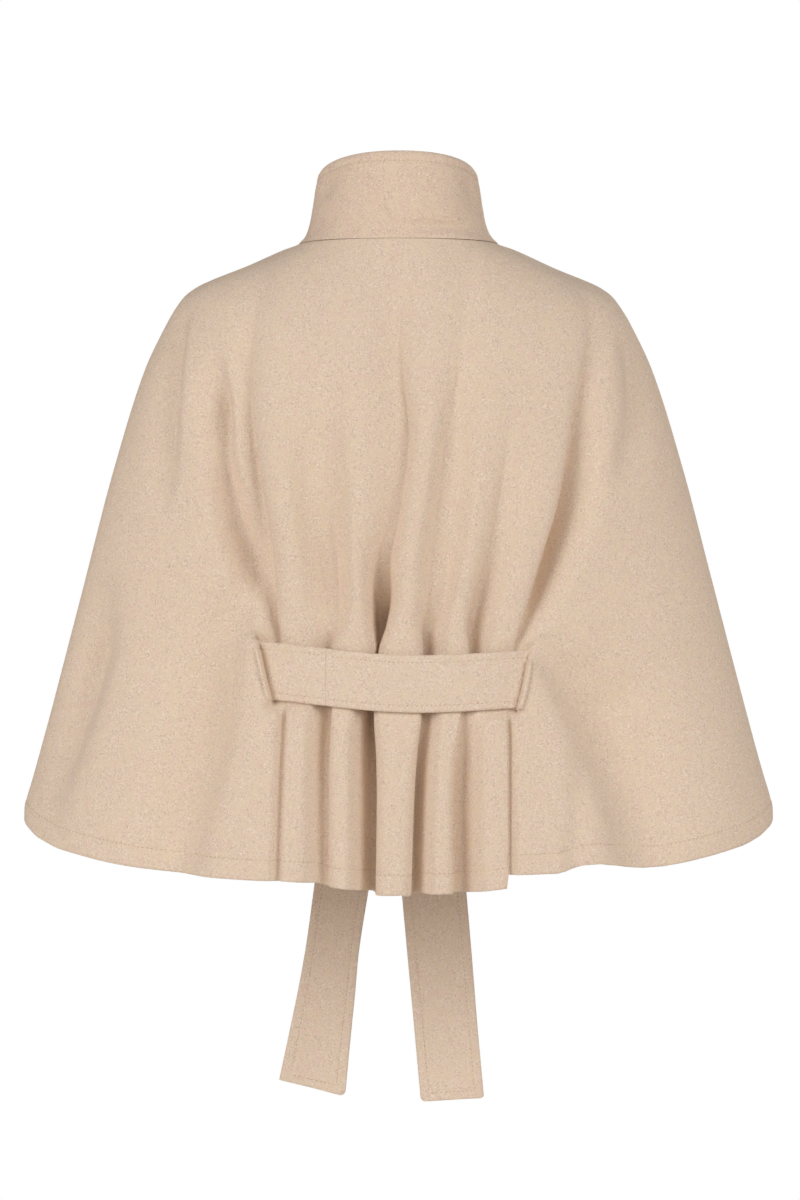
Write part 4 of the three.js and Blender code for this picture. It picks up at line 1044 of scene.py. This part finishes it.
# Belt ends: the free ends of the two strips, hanging from the knot to below the hem. Their edges and
# turned ends are top-stitched, and the left one is cut on a slant.
TAIL_TOP_Z = -450.6
TAIL_STITCH = 8.2
TAIL_CELLS = (44, 150)
TAIL_FOOT, TAIL_FOOT_START = 8, 0.88
TAIL_PLEAT_DEPTH, TAIL_PLEAT_TURNS, TAIL_PLEAT_REACH = 2.2, 15, 70
TAIL_WAVE_DEPTH, TAIL_WAVE_LENGTH, TAIL_WAVE_START = 1.2, 46, 120
TAIL_COLUMNS = ("drop", "x", "y", "width")
TAILS = [
    {"name": "left", "slant": 15, "corners": (2, 5), "rows": [
        (0, -24, 130, 42),
        (50, -34, 136, 50),
        (110, -44.5, 145.5, 54),
        (170, -55, 155.5, 55),
        (245, -66.3, 158, 53),
        (291, -72.4, 157.5, 56.5),
        (337, -79.4, 156.5, 61),
        (390, -87.5, 155, 67),
    ]},
    {"name": "right", "slant": -3.5, "corners": (5, 4), "rows": [
        (0, 20.5, 130, 42),
        (50, 25, 136, 52),
        (110, 29, 145.5, 62),
        (170, 34, 155.5, 65),
        (250, 41, 157, 65),
        (330, 48, 156, 64),
        (402, 54.5, 154.5, 64),
    ]},
]


def tail_surface(across, down, tail):
    """Middle points of a belt end, pleated where it leaves the knot and with round corners at its foot."""
    rows = dict(zip(TAIL_COLUMNS, np.array(tail["rows"], float).T))
    length = rows["drop"][-1]
    drop = length * down
    x, y, width = [curve_through(rows["drop"], rows[name], drop) for name in TAIL_COLUMNS[1:]]
    share = 0.5 - across
    corner = np.where(share < 0, *tail["corners"])
    past = np.maximum(0, drop - (length - corner))
    width = width - 2 * (corner - np.sqrt(np.maximum(0, corner ** 2 - past ** 2)))
    gather = TAIL_PLEAT_DEPTH * np.sin(across * TAIL_PLEAT_TURNS) * ease(1 - drop / TAIL_PLEAT_REACH)
    wave = TAIL_WAVE_DEPTH * np.sin(drop / TAIL_WAVE_LENGTH + share * 2) * ease(drop / TAIL_WAVE_START)
    z = TAIL_TOP_Z - drop - tail["slant"] * share * down
    return np.stack([x + share * width, y + gather + wave, z], axis=-1)


for tail in TAILS:
    tail_place = lambda across, down: tail_surface(across, down, tail)
    tail_bm, tail_across, tail_down = cloth_grid(*TAIL_CELLS)
    length, width = tail["rows"][-1][0], np.mean([row[3] for row in tail["rows"]])
    tail_down = np.interp(tail_down, (0, TAIL_FOOT_START, 1), (0, 1 - TAIL_FOOT / length, 1))
    put_in_place(tail_bm, tail_place(tail_across, tail_down))
    left, right = tail_across * width, (1 - tail_across) * width
    foot = (1 - tail_down) * length
    within = np.minimum(np.minimum(left, right), foot)
    full = strip_fullness((within,), (within - TAIL_STITCH,))
    tail_piece = sewn_object(f"belt_end_{tail['name']}", tail_bm, BELT_WOOL, BELT_CLOTH, 0, full)
    inset, end = TAIL_STITCH / width, 1 - TAIL_STITCH / length
    down_side, along_foot = np.linspace(0.02, end, 900), np.linspace(inset, 1 - inset, 200)
    lines = [(np.full_like(down_side, inset), down_side), (np.full_like(down_side, 1 - inset), down_side)]
    lines += [(along_foot, np.full_like(along_foot, end))]
    tail_rows = []
    for line in lines:
        points, outs = surface_row(tail_place, *line)
        thread_out = BELT_CLOTH * BELT_THREAD_OUT
        tail_rows += [(points + outs * side * thread_out, outs) for side in (1, -1)]
    tail_stitching = stitching(f"belt_end_{tail['name']}_stitching", tail_rows)
    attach(tail_piece, "root")
    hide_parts(f"belt_tail_{tail['name']}")
